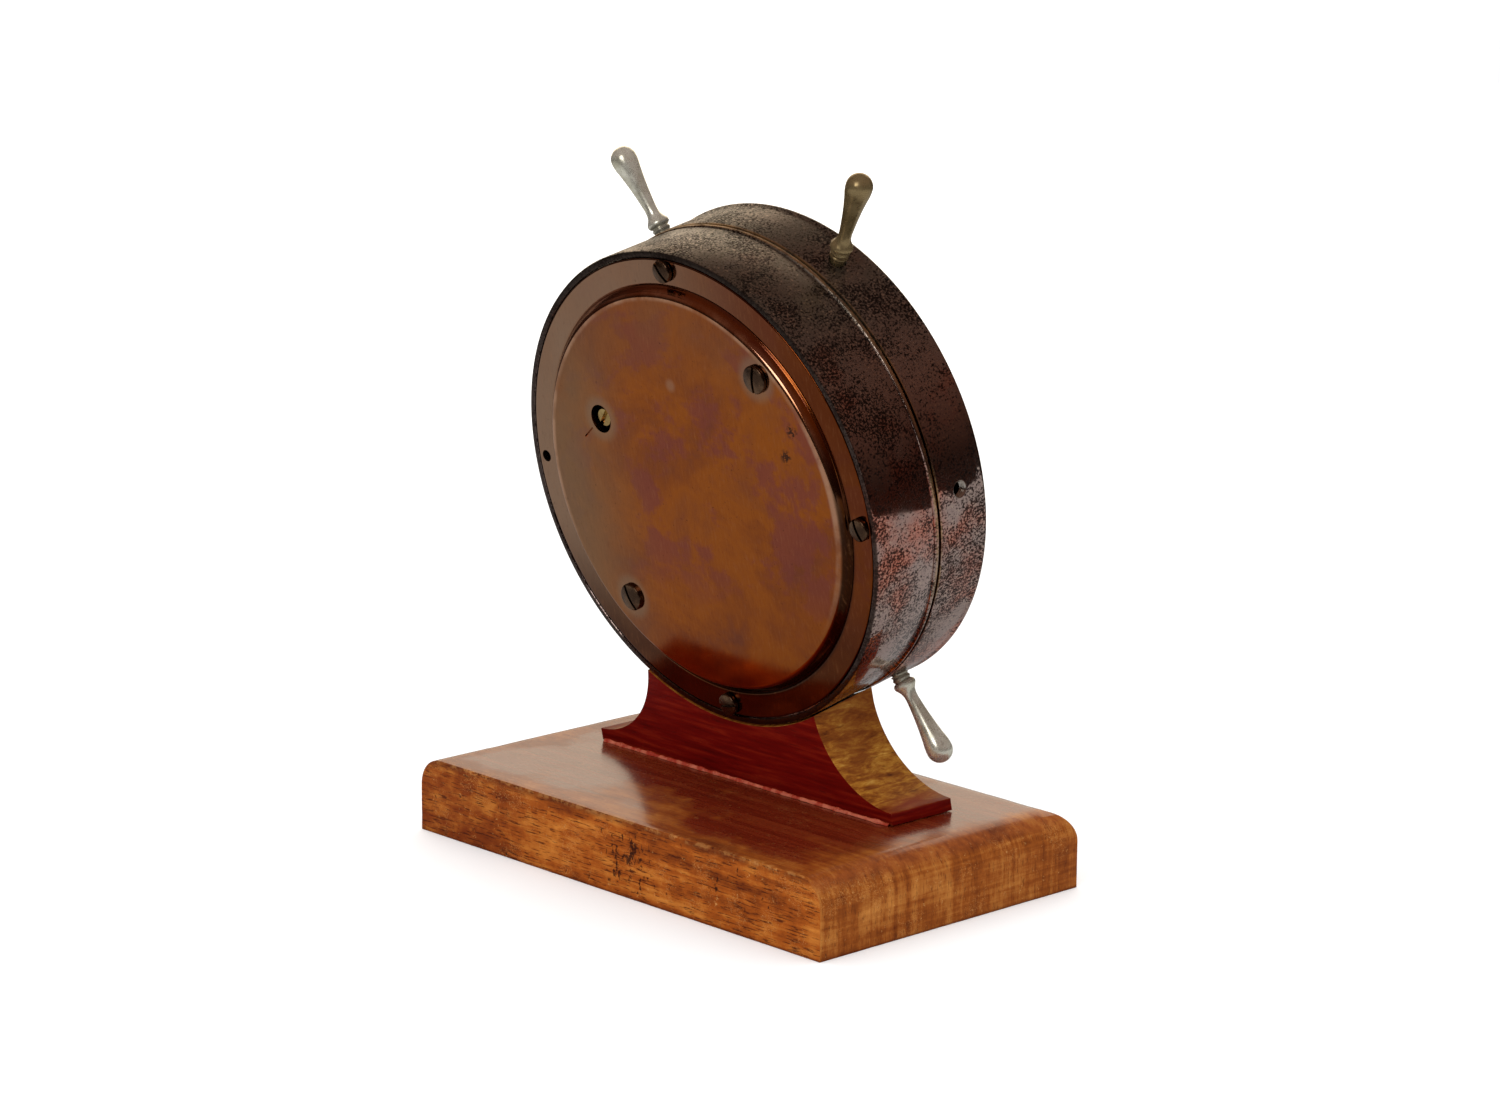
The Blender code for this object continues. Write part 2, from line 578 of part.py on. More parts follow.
def plates(clock):
    low, high = PILLAR_PLATE
    holes = [(BARREL, 1.75), (SECOND, 0.95), (CENTRE, 0.95), (THIRD, 0.8), (FOURTH, 0.8),
             (ESCAPE, 0.75), (LEVER, 0.75), (BALANCE, 2.0), (COCK_FOOT, 1.2)]
    back = clock.flat("pillar_plate", "brass", plate_outline(PLATE_R, holes), low, high)
    for at in pillar_places():
        pillar = [(0.0, FRONT_PLATE[1] + 0.6), (1.4, FRONT_PLATE[1] + 0.6),
                  (1.4, FRONT_PLATE[0] - GAP), (2.6, FRONT_PLATE[0] - GAP), (2.6, low + 0.5),
                  (0.0, low + 0.5)]
        clock.union(back, turned_object("pillar", pillar, 10), (*at, 0.0))
    for at in MOVEMENT_SCREWS.values():
        clock.union(back, cylinder_object("boss", 3.2, 0.2, low + 0.5, 12), (*at, 0.0))
        clock.drill(back, 2.0, -2.0, high + 1.0, at, 10)
    clock.union(back, cylinder_object("post", 3.0, 3.9, low + 0.5, 12), (*REGULATOR_HOLE, 0.0))
    clock.drill(back, 1.1, 3.0, high + 1.0, REGULATOR_HOLE, 8)

    low, high = FRONT_PLATE
    holes = [(BARREL, 1.75), (SECOND, 0.95), (CENTRE, 1.15), (THIRD, 0.8), (FOURTH, 0.8),
             (ESCAPE, 0.75), (LEVER, 0.75), (BALANCE, 0.75), (MINUTE_WHEEL, 0.95),
             (CLICK, 1.0)]
    holes += [(at, 1.7) for at in pillar_places()]
    holes += [(at, 1.3) for at in dial_feet()]
    clock.flat("front_plate", "brass", plate_outline(PLATE_R, holes), low, high)


def dial(clock):
    outline = [circle(DIAL_R, count=44), circle(3.2, CENTRE, 16), circle(1.4, FOURTH, 10),
               circle(3.0, BARREL, 12)]
    disc = clock.flat("dial", "dial_white", outline, DIAL_BACK, DIAL_FRONT)
    for at in dial_feet():
        clock.union(disc, cylinder_object("dial_foot", 1.0, 22.8, DIAL_BACK + 0.4, 8), (*at, 0.0))


def hand_outline(hub, length, tail, width):
    """A spade hand that points to twelve."""
    waist = width * 0.32
    spade = length * 0.72
    side = [(waist, hub * 0.9), (waist * 0.8, spade - width), (width, spade),
            (waist * 0.6, spade + width * 1.3), (0.0, length)]
    other = [(-x, y) for x, y in reversed(side[:-1])]
    back = [(-waist, -hub * 0.9), (-waist * 1.3, -tail), (waist * 1.3, -tail),
            (waist, -hub * 0.9)]
    ring_left = arc((0.0, 0.0), hub, 125, 235, 6)
    ring_right = arc((0.0, 0.0), hub, -55, 55, 6)
    return side + other + ring_left + back + ring_right


def hands(clock):
    rows = (("hour_hand", (4.2, 31.0, 8.0, 4.6), 2.7, (31.0, 31.4), CENTRE),
            ("minute_hand", (3.6, 44.0, 10.0, 3.4), 1.85, (31.9, 32.3), CENTRE),
            ("seconds_hand", (1.7, 9.0, 3.6, 0.9), 0.75, (29.9, 30.2), FOURTH))
    for name, shape, bore, levels, at in rows:
        outlines = [hand_outline(*shape), circle(bore, count=12)]
        clock.flat(name, "black_paint", outlines, *levels, at)
    nut = [(2.2, 33.4), (2.6, 33.0), (2.6, 32.5), (1.2, 32.5), (1.2, 33.4)]
    clock.turned("hand_nut", "brass", nut, 12, closed=True)


# ---------------------------------------------------------------- gears

def gear_outline(teeth, module, phase=0.0):
    """Slim teeth with running clearance: pointed on wheels, blunt on pinions."""
    middle = teeth * module / 2
    tip = middle + 0.75 * module
    root = middle - 1.1 * module
    step = 2 * math.pi / teeth
    corners = [(root, -0.20), (tip, -0.05), (tip, 0.05), (root, 0.20)]
    if teeth > 30:
        corners = [(tip, 0.0), (root, 0.5)]
    outline = []
    for tooth in range(teeth):
        for radius, offset in corners:
            outline.append(beyond((0.0, 0.0), phase + (tooth + offset) * step, radius))
    return outline


def meshing_phase(driver_at, driver_teeth, driven_at, driven_teeth, driver_phase=0.0):
    """The driven gear's phase that puts its gap where the driver's tooth is."""
    line = math.atan2(driven_at[1] - driver_at[1], driven_at[0] - driver_at[0])
    shift = (driver_phase - line) * driver_teeth / (2 * math.pi)
    return line + math.pi + 2 * math.pi / driven_teeth * (0.5 - shift)


def windows(count, inner, outer, arm):
    """The gaps between a wheel's arms."""
    gaps = []
    for i in range(count):
        middle = 360 / count * (i + 0.5)
        wide = 180 / count - math.degrees(arm / 2 / outer)
        narrow = 180 / count - math.degrees(arm / 2 / inner)
        gap = arc((0.0, 0.0), outer, middle - wide, middle + wide, 3)
        gaps.append(gap + arc((0.0, 0.0), inner, middle + narrow, middle - narrow, 1))
    return gaps


def wheel(clock, name, at, teeth, module, low, bore, arms=4, phase=0.0):
    root = teeth * module / 2 - 1.1 * module
    outlines = [gear_outline(teeth, module, phase), circle(bore, count=8)]
    outlines += windows(arms, max(bore + 1.2, 0.3 * root), root - 1.3, 1.6)
    clock.flat(name, "brass", outlines, low, low + WHEEL_THICKNESS, at)


def stacked(sections):
    """A turned profile from (radius, low, high) sections listed from the top down."""
    profile = [(0.0, sections[0][2])]
    for radius, low, high in sections:
        profile += [(radius, high), (radius, low)]
    return profile + [(0.0, sections[-1][1])]


def arbor(clock, name, at, sections, leaves, module, low, high, phase):
    shaft = clock.turned(name, "steel", stacked(sections), 8, at=(*at, 0.0))
    clock.union_flat(shaft, name + "_pinion", [gear_outline(leaves, module, phase)], low, high)


def going_train(clock):
    """Each wheel meshes with the pinion of the next arbor."""
    back, front = PILLAR_PLATE[0] + 0.1, FRONT_PLATE[1] - 0.1
    inside = (PILLAR_PLATE[1] + 0.2, FRONT_PLATE[0] - 0.2)
    rows = (
        ("second", SECOND, 0.8, SECOND_TEETH, SECOND_MODULE, 18.2, SECOND_LEAVES, BARREL_MODULE,
         (10.3, 12.2), BARREL, BARREL_TEETH),
        ("third", THIRD, 0.65, THIRD_TEETH, THIRD_MODULE, 15.0, THIRD_LEAVES, CENTRE_MODULE,
         (20.3, 21.8), CENTRE, CENTRE_TEETH),
        ("escape", ESCAPE, 0.6, None, None, None, ESCAPE_LEAVES, FOURTH_MODULE,
         (11.4, 13.0), FOURTH, FOURTH_TEETH),
    )
    for stem, at, pivot, teeth, module, level, leaves, pinion_module, span, driver, count in rows:
        body = min(1.0, leaves * pinion_module / 2 - 1.1 * pinion_module)
        sections = [(pivot, inside[1], front), (body, inside[0], inside[1]),
                    (pivot, back, inside[0])]
        phase = meshing_phase(driver, count, at, leaves)
        arbor(clock, stem + "_arbor", at, sections, leaves, pinion_module, *span, phase)
        if teeth:
            wheel(clock, stem + "_wheel", at, teeth, module, level, body + 0.15)
    wheel(clock, "centre_wheel", CENTRE, CENTRE_TEETH, CENTRE_MODULE, 20.6, 1.15)
    sections = [(0.9, inside[1], 33.2), (1.0, inside[0], inside[1]), (0.8, back, inside[0])]
    phase = meshing_phase(SECOND, SECOND_TEETH, CENTRE, CENTRE_LEAVES)
    arbor(clock, "centre_arbor", CENTRE, sections, CENTRE_LEAVES, SECOND_MODULE, 17.9, 19.4, phase)
    wheel(clock, "fourth_wheel", FOURTH, FOURTH_TEETH, FOURTH_MODULE, 11.75, 1.15)
    sections = [(0.6, inside[1], 30.5), (1.0, inside[0], inside[1]), (0.65, back, inside[0])]
    phase = meshing_phase(THIRD, THIRD_TEETH, FOURTH, FOURTH_LEAVES)
    arbor(clock, "fourth_arbor", FOURTH, sections, FOURTH_LEAVES, THIRD_MODULE, 14.7, 16.2, phase)


def motion_work(clock):
    """Cannon pinion on the centre arbor, minute wheel beside it, hour wheel over the cannon."""
    cannon = [(1.65, 32.3), (1.65, 24.4), (1.1, 24.4), (1.1, 32.3)]
    pipe = clock.turned("cannon_pinion", "steel", cannon, 12, closed=True)
    outlines = [gear_outline(CANNON_LEAVES, CANNON_MODULE), circle(1.3, count=12)]
    clock.union_flat(pipe, "cannon_leaves", outlines, 24.7, 26.0)

    phase = meshing_phase(CENTRE, CANNON_LEAVES, MINUTE_WHEEL, MINUTE_TEETH)
    outlines = [gear_outline(MINUTE_TEETH, CANNON_MODULE, phase)]
    outlines += windows(4, 2.6, 5.6, 1.4)
    mesh = clock.flat("minute_wheel", "brass", outlines, 24.9, 25.7, MINUTE_WHEEL)
    outlines = [gear_outline(MINUTE_LEAVES, HOUR_MODULE)]
    clock.union_flat(mesh, "minute_leaves", outlines, 25.4, 27.5)
    clock.union(mesh, cylinder_object("minute_pivot", 0.8, 22.7, 25.2, 12))

    phase = meshing_phase(MINUTE_WHEEL, MINUTE_LEAVES, CENTRE, HOUR_TEETH)
    outlines = [gear_outline(HOUR_TEETH, HOUR_MODULE, phase), circle(1.9, count=12)]
    outlines += windows(4, 3.4, 6.0, 1.4)
    hour = clock.flat("hour_wheel", "brass", outlines, 26.4, 27.2)
    tube = [(2.5, 31.4), (2.5, 26.6), (1.9, 26.6), (1.9, 31.4)]
    clock.union(hour, turned_object("hour_pipe", tube, 12, True))


# ---------------------------------------------------------------- barrel, ratchet and click

def spiral_strip(name, inner, outer, turns, points_per_turn, height, thickness):
    """A coiled ribbon: one open strip along a spiral, given its thickness by Solidify."""
    count = int(turns * points_per_turn)
    rail = []
    for i in range(count + 1):
        radius = inner + (outer - inner) * i / count
        rail.append(beyond((0.0, 0.0), 2 * math.pi * i / points_per_turn, radius))
    low, high = height
    verts = [(x * MM, y * MM, z * MM) for z in (low, high) for x, y in rail]
    step = count + 1
    faces = [(i, i + 1, i + 1 + step, i + step) for i in range(count)]
    mesh = bpy.data.meshes.new(name)
    mesh.from_pydata(verts, [], faces)
    ribbon = bpy.data.objects.new(name, mesh)
    solid = ribbon.modifiers.new("Solidify", "SOLIDIFY")
    solid.thickness = thickness * MM
    solid.offset = 0.0
    return ribbon


def barrel_group(clock):
    """The going barrel turns on its arbor; the arbor carries the ratchet and the square."""
    barrel = clock.flat("mainspring_barrel", "brass",
                        [gear_outline(BARREL_TEETH, BARREL_MODULE), circle(1.9, count=12)],
                        10.4, 11.9, BARREL)
    drum = [(18.6, 17.4), (18.6, 11.5), (17.6, 11.5), (17.6, 17.4)]
    clock.union(barrel, turned_object("barrel_drum", drum, 30, True))

    spring = spiral_strip("mainspring", 4.4, 16.2, 5, 14, (12.3, 17.0), 0.35)
    clock.piece(spring, "steel", (*BARREL, 0.0))

    sections = [(1.6, 22.3, 29.1), (3.0, 12.3, 22.3), (1.6, 8.6, 12.3)]
    shaft = clock.turned("barrel_arbor", "steel", stacked(sections), 12, at=(*BARREL, 0.0))
    for turn in range(4):
        flat_side = box_object("winding_flat", (1.2, -4, 24.3), (5, 4, 30))
        clock.cut(shaft, flat_side, rotation=(0.0, 0.0, turn * math.pi / 2))

    outline = []
    for tooth in range(RATCHET_TEETH):
        angle = 2 * math.pi * tooth / RATCHET_TEETH
        outline.append(beyond((0.0, 0.0), angle, RATCHET_R))
        outline.append(beyond((0.0, 0.0), angle + 0.02, RATCHET_R - 1.3))
    square = [(1.4, 1.4), (-1.4, 1.4), (-1.4, -1.4), (1.4, -1.4)]
    clock.flat("ratchet_wheel", "steel", [outline, square], 24.7, 26.0, BARREL)


def click_and_spring(clock):
    """The pawl's nose stands just clear of the ratchet tips; its spring lies behind it."""
    to_wheel = math.atan2(BARREL[1] - CLICK[1], BARREL[0] - CLICK[0])
    span = math.dist(CLICK, BARREL)
    clear = RATCHET_R + 0.4
    lean = math.acos((span ** 2 + CLICK_REACH ** 2 - clear ** 2) / (2 * span * CLICK_REACH))
    side = to_wheel + lean
    nose = beyond((0.0, 0.0), side, CLICK_REACH)
    outline = arc((0.0, 0.0), 2.4, math.degrees(side) + 60, math.degrees(side) + 300, 8)
    outline += [beyond(beyond((0.0, 0.0), side, 6.0), side - math.pi / 2, 1.3), nose,
                beyond(beyond((0.0, 0.0), side, 7.0), side + math.pi / 2, 1.2)]
    pawl = clock.flat("click", "steel", [outline], 24.7, 26.0, CLICK)
    clock.union(pawl, cylinder_object("click_stud", 0.85, 22.7, 25.2, 10))

    outer = side + math.pi / 2
    start = beyond(beyond(CLICK, side, 6.5), outer, 2.5)
    end = beyond(beyond(CLICK, side + math.pi, 12.0), outer, 4.5)
    along = Vector(end) - Vector(start)
    across = Vector((-along.y, along.x)).normalized() * 0.3
    bar = [Vector(start) + across, Vector(start) - across, Vector(end) - across,
           Vector(end) + across]
    spring = clock.flat("click_spring", "blued_steel", [[tuple(p) for p in bar]], 24.9, 25.8)
    clock.union(spring, cylinder_object("spring_foot", 1.6, 24.3, 26.0, 12), (*end, 0.0))


# ---------------------------------------------------------------- escapement and regulator

def escapement(clock):
    outline = []
    corners = [(ESCAPE_R - 1.9, -0.09), (ESCAPE_R, -0.07), (ESCAPE_R, -0.02),
               (ESCAPE_R - 1.9, 0.12)]
    for tooth in range(ESCAPE_TEETH):
        angle = 2 * math.pi * tooth / ESCAPE_TEETH
        outline += [beyond((0.0, 0.0), angle + turn, radius) for radius, turn in corners]
    outlines = [outline, circle(1.15, count=8)] + windows(3, 1.9, 3.2, 0.9)
    clock.flat("escape_wheel", "brass", outlines, 13.9, 13.9 + WHEEL_THICKNESS, ESCAPE)

    inside = (PILLAR_PLATE[1] + 0.2, FRONT_PLATE[0] - 0.2)
    lever = clock.turned("pallet_lever", "steel", stacked(
        [(0.6, inside[1], 23.9), (1.0, inside[0], inside[1]), (0.6, 8.6, inside[0])]), 8,
        at=(*LEVER, 0.0))
    for side in (-1, 1):
        pallet = beyond(ESCAPE, ESCAPEMENT_LINE + side * math.radians(33), ESCAPE_R + 1.1)
        local = Vector(pallet) - Vector(LEVER)
        arm = bar_outline((0.0, 0.0), tuple(local * 1.12), 1.1)
        clock.union_flat(lever, "pallet_arm", [arm], 14.0, 14.9)
        stone_end = Vector(beyond(ESCAPE, ESCAPEMENT_LINE + side * math.radians(33),
                                  ESCAPE_R + 0.6)) - Vector(LEVER)
        stone = bar_outline(tuple(local * 1.05), tuple(stone_end), 0.9)
        clock.union_flat(lever, "pallet_stone", [stone], 13.7, 15.1)
    root = beyond((0.0, 0.0), ESCAPEMENT_LINE, 4.2)
    stem = bar_outline((0.0, 0.0), root, 1.2)
    clock.union_flat(lever, "lever_stem", [stem], 14.05, 14.85)
    for side in (-1, 1):
        horn = beyond((0.0, 0.0), ESCAPEMENT_LINE + side * math.radians(10), 5.7)
        prong = bar_outline(tuple(Vector(root) * 0.85), horn, 0.6)
        clock.union_flat(lever, "fork_horn", [prong], 14.1, 14.8)

    staff = [(0.6, 14.8, 23.9), (1.8, 13.9, 14.8), (1.0, 4.8, 13.9), (0.5, 3.3, 4.8)]
    clock.turned("balance_staff", "steel", stacked(staff), 10, at=(*BALANCE, 0.0))
    rim = [circle(9.0, count=28), circle(1.15, count=8)] + windows(2, 2.6, 7.8, 2.0)
    clock.flat("balance_wheel", "brass", rim, 6.6, 7.8, BALANCE)
    spring = spiral_strip("hairspring", 1.7, 5.6, 4, 12, (5.0, 5.7), 0.15)
    clock.piece(spring, "blued_steel", (*BALANCE, 0.0))


def cock_and_regulator(clock):
    foot = Vector(COCK_FOOT) - Vector(BALANCE)
    along = math.degrees(math.atan2(foot.y, foot.x))
    outline = arc((0.0, 0.0), 3.2, along + 90, along + 270, 8)
    outline += arc(tuple(foot), 4.2, along - 90, along + 90, 8)
    cock = clock.flat("balance_cock", "brass", [outline, circle(0.7, count=10)], 3.2, 4.3, BALANCE)
    clock.union(cock, cylinder_object("cock_foot", 4.0, 3.8, PILLAR_PLATE[0] - GAP, 14),
                (foot.x, foot.y, 0.0))
    clock.union(cock, cylinder_object("cock_pin", 1.0, 6.0, PILLAR_PLATE[1] - 0.1, 10),
                (foot.x, foot.y, 0.0))
    clock.union(cock, turned_object("cock_boss", [(1.9, 3.5), (1.9, 1.8), (0.7, 1.8),
                                                  (0.7, 3.5)], 12, True))

    tail = Vector(REGULATOR_HOLE) - Vector(BALANCE)
    angle = math.atan2(tail.y, tail.x)
    reach = tail.length + REGULATOR_THROW
    cam_r = 1.2
    fork = 0.25 + cam_r
    index = clock.flat("regulator_index", "steel", [circle(3.6, count=14), circle(2.2, count=12)],
                       2.2, 2.9, BALANCE)
    arm = bar_outline(beyond((0.0, 0.0), angle, 2.9), beyond((0.0, 0.0), angle, reach - 2.6), 1.8)
    clock.union_flat(index, "index_arm", [arm], 2.25, 2.85)
    heel = beyond((0.0, 0.0), angle, reach - 2.6)
    for side in (-1, 1):
        offset = side * (fork + 0.45)
        near = beyond(beyond((0.0, 0.0), angle, reach - 3.2), angle + math.pi / 2, offset)
        far = beyond(beyond((0.0, 0.0), angle, reach + 1.8), angle + math.pi / 2, offset)
        prong = bar_outline(near, far, 0.9)
        clock.union_flat(index, "index_prong", [prong], 2.28, 2.82)
    bridge = bar_outline(beyond(heel, angle + math.pi / 2, fork + 0.9),
                         beyond(heel, angle - math.pi / 2, fork + 0.9), 1.2)
    clock.union_flat(index, "index_bridge", [bridge], 2.2, 2.9)

    # The prongs swing across the screw's axis, so only the cam passes through their level
    head = [(0.0, 1.4), (2.5, 1.4), (2.5, -1.2), (2.3, -1.4), (0.0, -1.4)]
    screw = clock.turned("regulator_screw", "brass", head, 14, at=(*REGULATOR_HOLE, 0.0))
    clock.union(screw, cylinder_object("regulator_cam", cam_r, 1.2, 3.3, 12),
                (*beyond((0.0, 0.0), angle, REGULATOR_THROW), 0.0))
    clock.union(screw, cylinder_object("regulator_pivot", REGULATOR_PIVOT_R, 3.1, 8.0, 14))
    clock.cut(screw, box_object("regulator_slot", (-4, -0.4, -3.0), (4, 0.4, -0.5)))


def build():
    clock = Clock()
    base_board(clock)
    base_screws(clock)
    cradle(clock)
    cradle_screws(clock)
    rear_case(clock)
    back_cover(clock)
    cover_screws(clock)
    front_bezel(clock)
    glass_and_ring(clock)
    spokes(clock)
    hinge(clock)
    plates(clock)
    dial(clock)
    hands(clock)
    going_train(clock)
    motion_work(clock)
    barrel_group(clock)
    click_and_spring(clock)
    escapement(clock)
    cock_and_regulator(clock)


build()
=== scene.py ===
"""Looks of the ship's deck clock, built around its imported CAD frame.

Pieces of the drum are modelled in the drum's own frame: x to the right when facing the dial,
y up along the leaning faces, z from the back cover towards the dial. The stand and the handles
are in the world's frame. Sizes are in millimetres and turned into metres with MM.
"""

import json
import math

import bmesh
import bpy
from mathutils import Matrix, Vector, noise

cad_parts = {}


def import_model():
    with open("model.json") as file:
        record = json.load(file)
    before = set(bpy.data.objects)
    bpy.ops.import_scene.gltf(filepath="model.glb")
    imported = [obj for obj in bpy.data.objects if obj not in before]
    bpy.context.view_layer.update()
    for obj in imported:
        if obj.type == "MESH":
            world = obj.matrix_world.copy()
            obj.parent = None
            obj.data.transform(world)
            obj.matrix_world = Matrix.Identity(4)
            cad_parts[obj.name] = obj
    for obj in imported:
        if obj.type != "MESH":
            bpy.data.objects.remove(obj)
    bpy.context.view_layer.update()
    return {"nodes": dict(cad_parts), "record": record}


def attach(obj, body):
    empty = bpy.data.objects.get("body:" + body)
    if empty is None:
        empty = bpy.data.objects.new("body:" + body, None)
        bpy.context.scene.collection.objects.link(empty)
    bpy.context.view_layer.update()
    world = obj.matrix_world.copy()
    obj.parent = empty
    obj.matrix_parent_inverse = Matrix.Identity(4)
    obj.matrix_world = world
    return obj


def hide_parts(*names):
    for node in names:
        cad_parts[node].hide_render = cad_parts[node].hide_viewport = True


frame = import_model()

MM = 0.001

# Places that the CAD model sets
LEAN = math.radians(11.5)
DRUM_ORIGIN = Vector((0.0, 16.62, 100.64)) * MM
DRUM = Matrix.Translation(DRUM_ORIGIN) @ Matrix.Rotation(math.pi / 2 - LEAN, 4, "X")
CASE_R = 64.0
CASE_WALL = 1.5
SADDLE_R = 64.5
BEAD_R = 64.4
CASE_FRONT = 22.1
COVER_R = 62.0
COVER_FACE = 0.3
DISC_FACE = -2.0
DISC_FOOT_R = 54.9
DISC_TOP_R = 52.5
DISC_CROWN = 0.9
RIM_SCREW_CIRCLE = 59.2
MOVEMENT_SCREWS = {"movement_screw_a": (-31.3, 35.8), "movement_screw_b": (29.7, -33.8)}
REGULATOR = (30.8, 15.8)
REGULATOR_HOLE_R = 3.8
REGULATOR_THROW = 0.8
REGULATOR_CAM_R = 1.18
REGULATOR_PIVOT_R = 0.88
BALANCE = (22.69, -7.39)
BEZEL_R = 64.6
BEZEL_LIP_R = 65.1
BEZEL_FRONT = 38.6
SPOKE_PLANE = 30.0
SPOKE_TURN = -0.8
SPOKE_ANGLES = {"spoke_1": 60, "spoke_2": 120, "spoke_3": 240, "spoke_4": 300, "spoke_5": 0}
EMPTY_SPOKE_ANGLE = 180
SPOKE_FOOT = 64.9
SPOKE_TIP = 90.4
SPOKE_LIFT = {"spoke_2": 1.4}
WINDING_HOLE = (0.0, 26.0)
SECONDS_CENTRE = (0.0, -25.0)
DIAL_FACE = 29.4
HINGE = (67.3, 22.1)
BASE_HALF = (76.6, 45.95)
BASE_TOP = 20.5
BASE_ROUND = 8.0
CRADLE_TIP = (31.6, 45.6)
CRADLE_TOE = (55.3, 24.1)
CRADLE_SAG = 0.185
CRADLE_LEVELS = (0.3, 21.4)
TURN_STEPS = 180


# ---------------------------------------------------------------- mesh helpers

def add_object(name, data, matrix=None):
    thing = bpy.data.objects.new(name, data)
    bpy.context.scene.collection.objects.link(thing)
    if matrix is not None:
        thing.matrix_world = matrix
    return thing


def in_world_frame(thing):
    """Moves the object's place into its mesh, so that its box is its true extent."""
    thing.data.transform(thing.matrix_world)
    thing.matrix_world = Matrix.Identity(4)
    return thing


def finish_mesh(work, name, smooth_angle=32):
    bmesh.ops.recalc_face_normals(work, faces=work.faces)
    mesh = bpy.data.meshes.new(name)
    work.to_mesh(mesh)
    work.free()
    mesh.shade_smooth()
    mesh.set_sharp_from_angle(angle=math.radians(smooth_angle))
    return mesh


def turned(name, profile, steps=TURN_STEPS, closed=False, matrix=DRUM, angle=32):
    """Spins (radius, height) points in millimetres; an open profile starts and ends on the axis."""
    work = bmesh.new()
    points = [work.verts.new((r * MM, 0.0, z * MM)) for r, z in profile]
    edges = [work.edges.new((a, b)) for a, b in zip(points, points[1:])]
    if closed:
        edges.append(work.edges.new((points[-1], points[0])))
    bmesh.ops.spin(work, geom=points + edges, cent=(0, 0, 0), axis=(0, 0, 1), steps=steps,
                   angle=2 * math.pi, use_merge=False)
    bmesh.ops.remove_doubles(work, verts=work.verts, dist=2e-7)
    return add_object(name, finish_mesh(work, name, angle), matrix)


def rounded(profile, radius, segments=3):
    """The same profile with its inner corners rounded where there is room."""
    result = [profile[0]]
    for before, corner, after in zip(profile, profile[1:], profile[2:]):
        here = Vector(corner)
        back = Vector(before) - here
        ahead = Vector(after) - here
        room = min(back.length, ahead.length) * 0.45
        cut = min(radius, room)
        start = here + back.normalized() * cut
        end = here + ahead.normalized() * cut
        for i in range(segments + 1):
            t = i / segments
            point = start * (1 - t) ** 2 + here * 2 * t * (1 - t) + end * t ** 2
            result.append((point.x, point.y))
    result.append(profile[-1])
    return result


def rounded_loop(profile, radius, segments=3):
    around = [profile[-1]] + list(profile) + [profile[0]]
    return rounded(around, radius, segments)[1:-1]


def circle(radius, centre=(0.0, 0.0), count=48):
    return [(centre[0] + radius * math.cos(2 * math.pi * i / count),
             centre[1] + radius * math.sin(2 * math.pi * i / count)) for i in range(count)]


def arc(centre, radius, start, end, count):
    turn = [math.radians(start + (end - start) * i / count) for i in range(count + 1)]
    return [(centre[0] + radius * math.cos(a), centre[1] + radius * math.sin(a)) for a in turn]


def flat(name, outlines, low, high, matrix=DRUM, bevel=0.0, angle=32):
    """A plate from closed outlines, holes among them, with an optional edge bevel."""
    curve = bpy.data.curves.new(name, "CURVE")
    curve.dimensions = "2D"
    curve.fill_mode = "BOTH"
    curve.extrude = (high - low) / 2 * MM
    for outline in outlines:
        spline = curve.splines.new("POLY")
        spline.points.add(len(outline) - 1)
        for point, (x, y) in zip(spline.points, outline):
            point.co = (x * MM, y * MM, 0.0, 1.0)
        spline.use_cyclic_u = True
    holder = add_object(name + "_curve", curve)
    graph = bpy.context.evaluated_depsgraph_get()
    mesh = bpy.data.meshes.new_from_object(holder.evaluated_get(graph))
    bpy.data.objects.remove(holder, do_unlink=True)
    work = bmesh.new()
    work.from_mesh(mesh)
    bmesh.ops.translate(work, verts=work.verts, vec=(0.0, 0.0, (low + high) / 2 * MM))
    bmesh.ops.remove_doubles(work, verts=work.verts, dist=1e-7)
    thing = add_object(name, finish_mesh(work, name, angle), matrix)
    if bevel:
        soften(thing, bevel)
    return thing


def soften(thing, width, segments=2, angle=50):
    modifier = thing.modifiers.new("edges", "BEVEL")
    modifier.width = width * MM
    modifier.segments = segments
    modifier.limit_method = "ANGLE"
    modifier.angle_limit = math.radians(angle)
    modifier.harden_normals = False
    apply_modifiers(thing)


def apply_modifiers(thing, smooth_angle=32):
    graph = bpy.context.evaluated_depsgraph_get()
    mesh = bpy.data.meshes.new_from_object(thing.evaluated_get(graph))
    thing.modifiers.clear()
    thing.data = mesh
    mesh.shade_smooth()
    mesh.set_sharp_from_angle(angle=math.radians(smooth_angle))


def boolean(target, tools, operation="DIFFERENCE", smooth_angle=32):
    for tool in tools:
        modifier = target.modifiers.new("cut", "BOOLEAN")
        modifier.operation = operation
        modifier.solver = "EXACT"
        modifier.object = tool
    apply_modifiers(target, smooth_angle)
    for tool in tools:
        bpy.data.objects.remove(tool, do_unlink=True)


def rod(name, radius, low, high, matrix, sides=40):
    work = bmesh.new()
    bmesh.ops.create_cone(work, cap_ends=True, segments=sides, radius1=radius * MM,
                          radius2=radius * MM, depth=(high - low) * MM,
                          matrix=Matrix.Translation((0.0, 0.0, (low + high) / 2 * MM)))
    return add_object(name, finish_mesh(work, name), matrix)


def block(name, low, high, matrix):
    work = bmesh.new()
    bmesh.ops.create_cube(work, size=1.0)
    size = [(b - a) * MM for a, b in zip(low, high)]
    middle = [(b + a) / 2 * MM for a, b in zip(low, high)]
    bmesh.ops.scale(work, verts=work.verts, vec=size)
    bmesh.ops.translate(work, verts=work.verts, vec=middle)
    return add_object(name, finish_mesh(work, name), matrix)


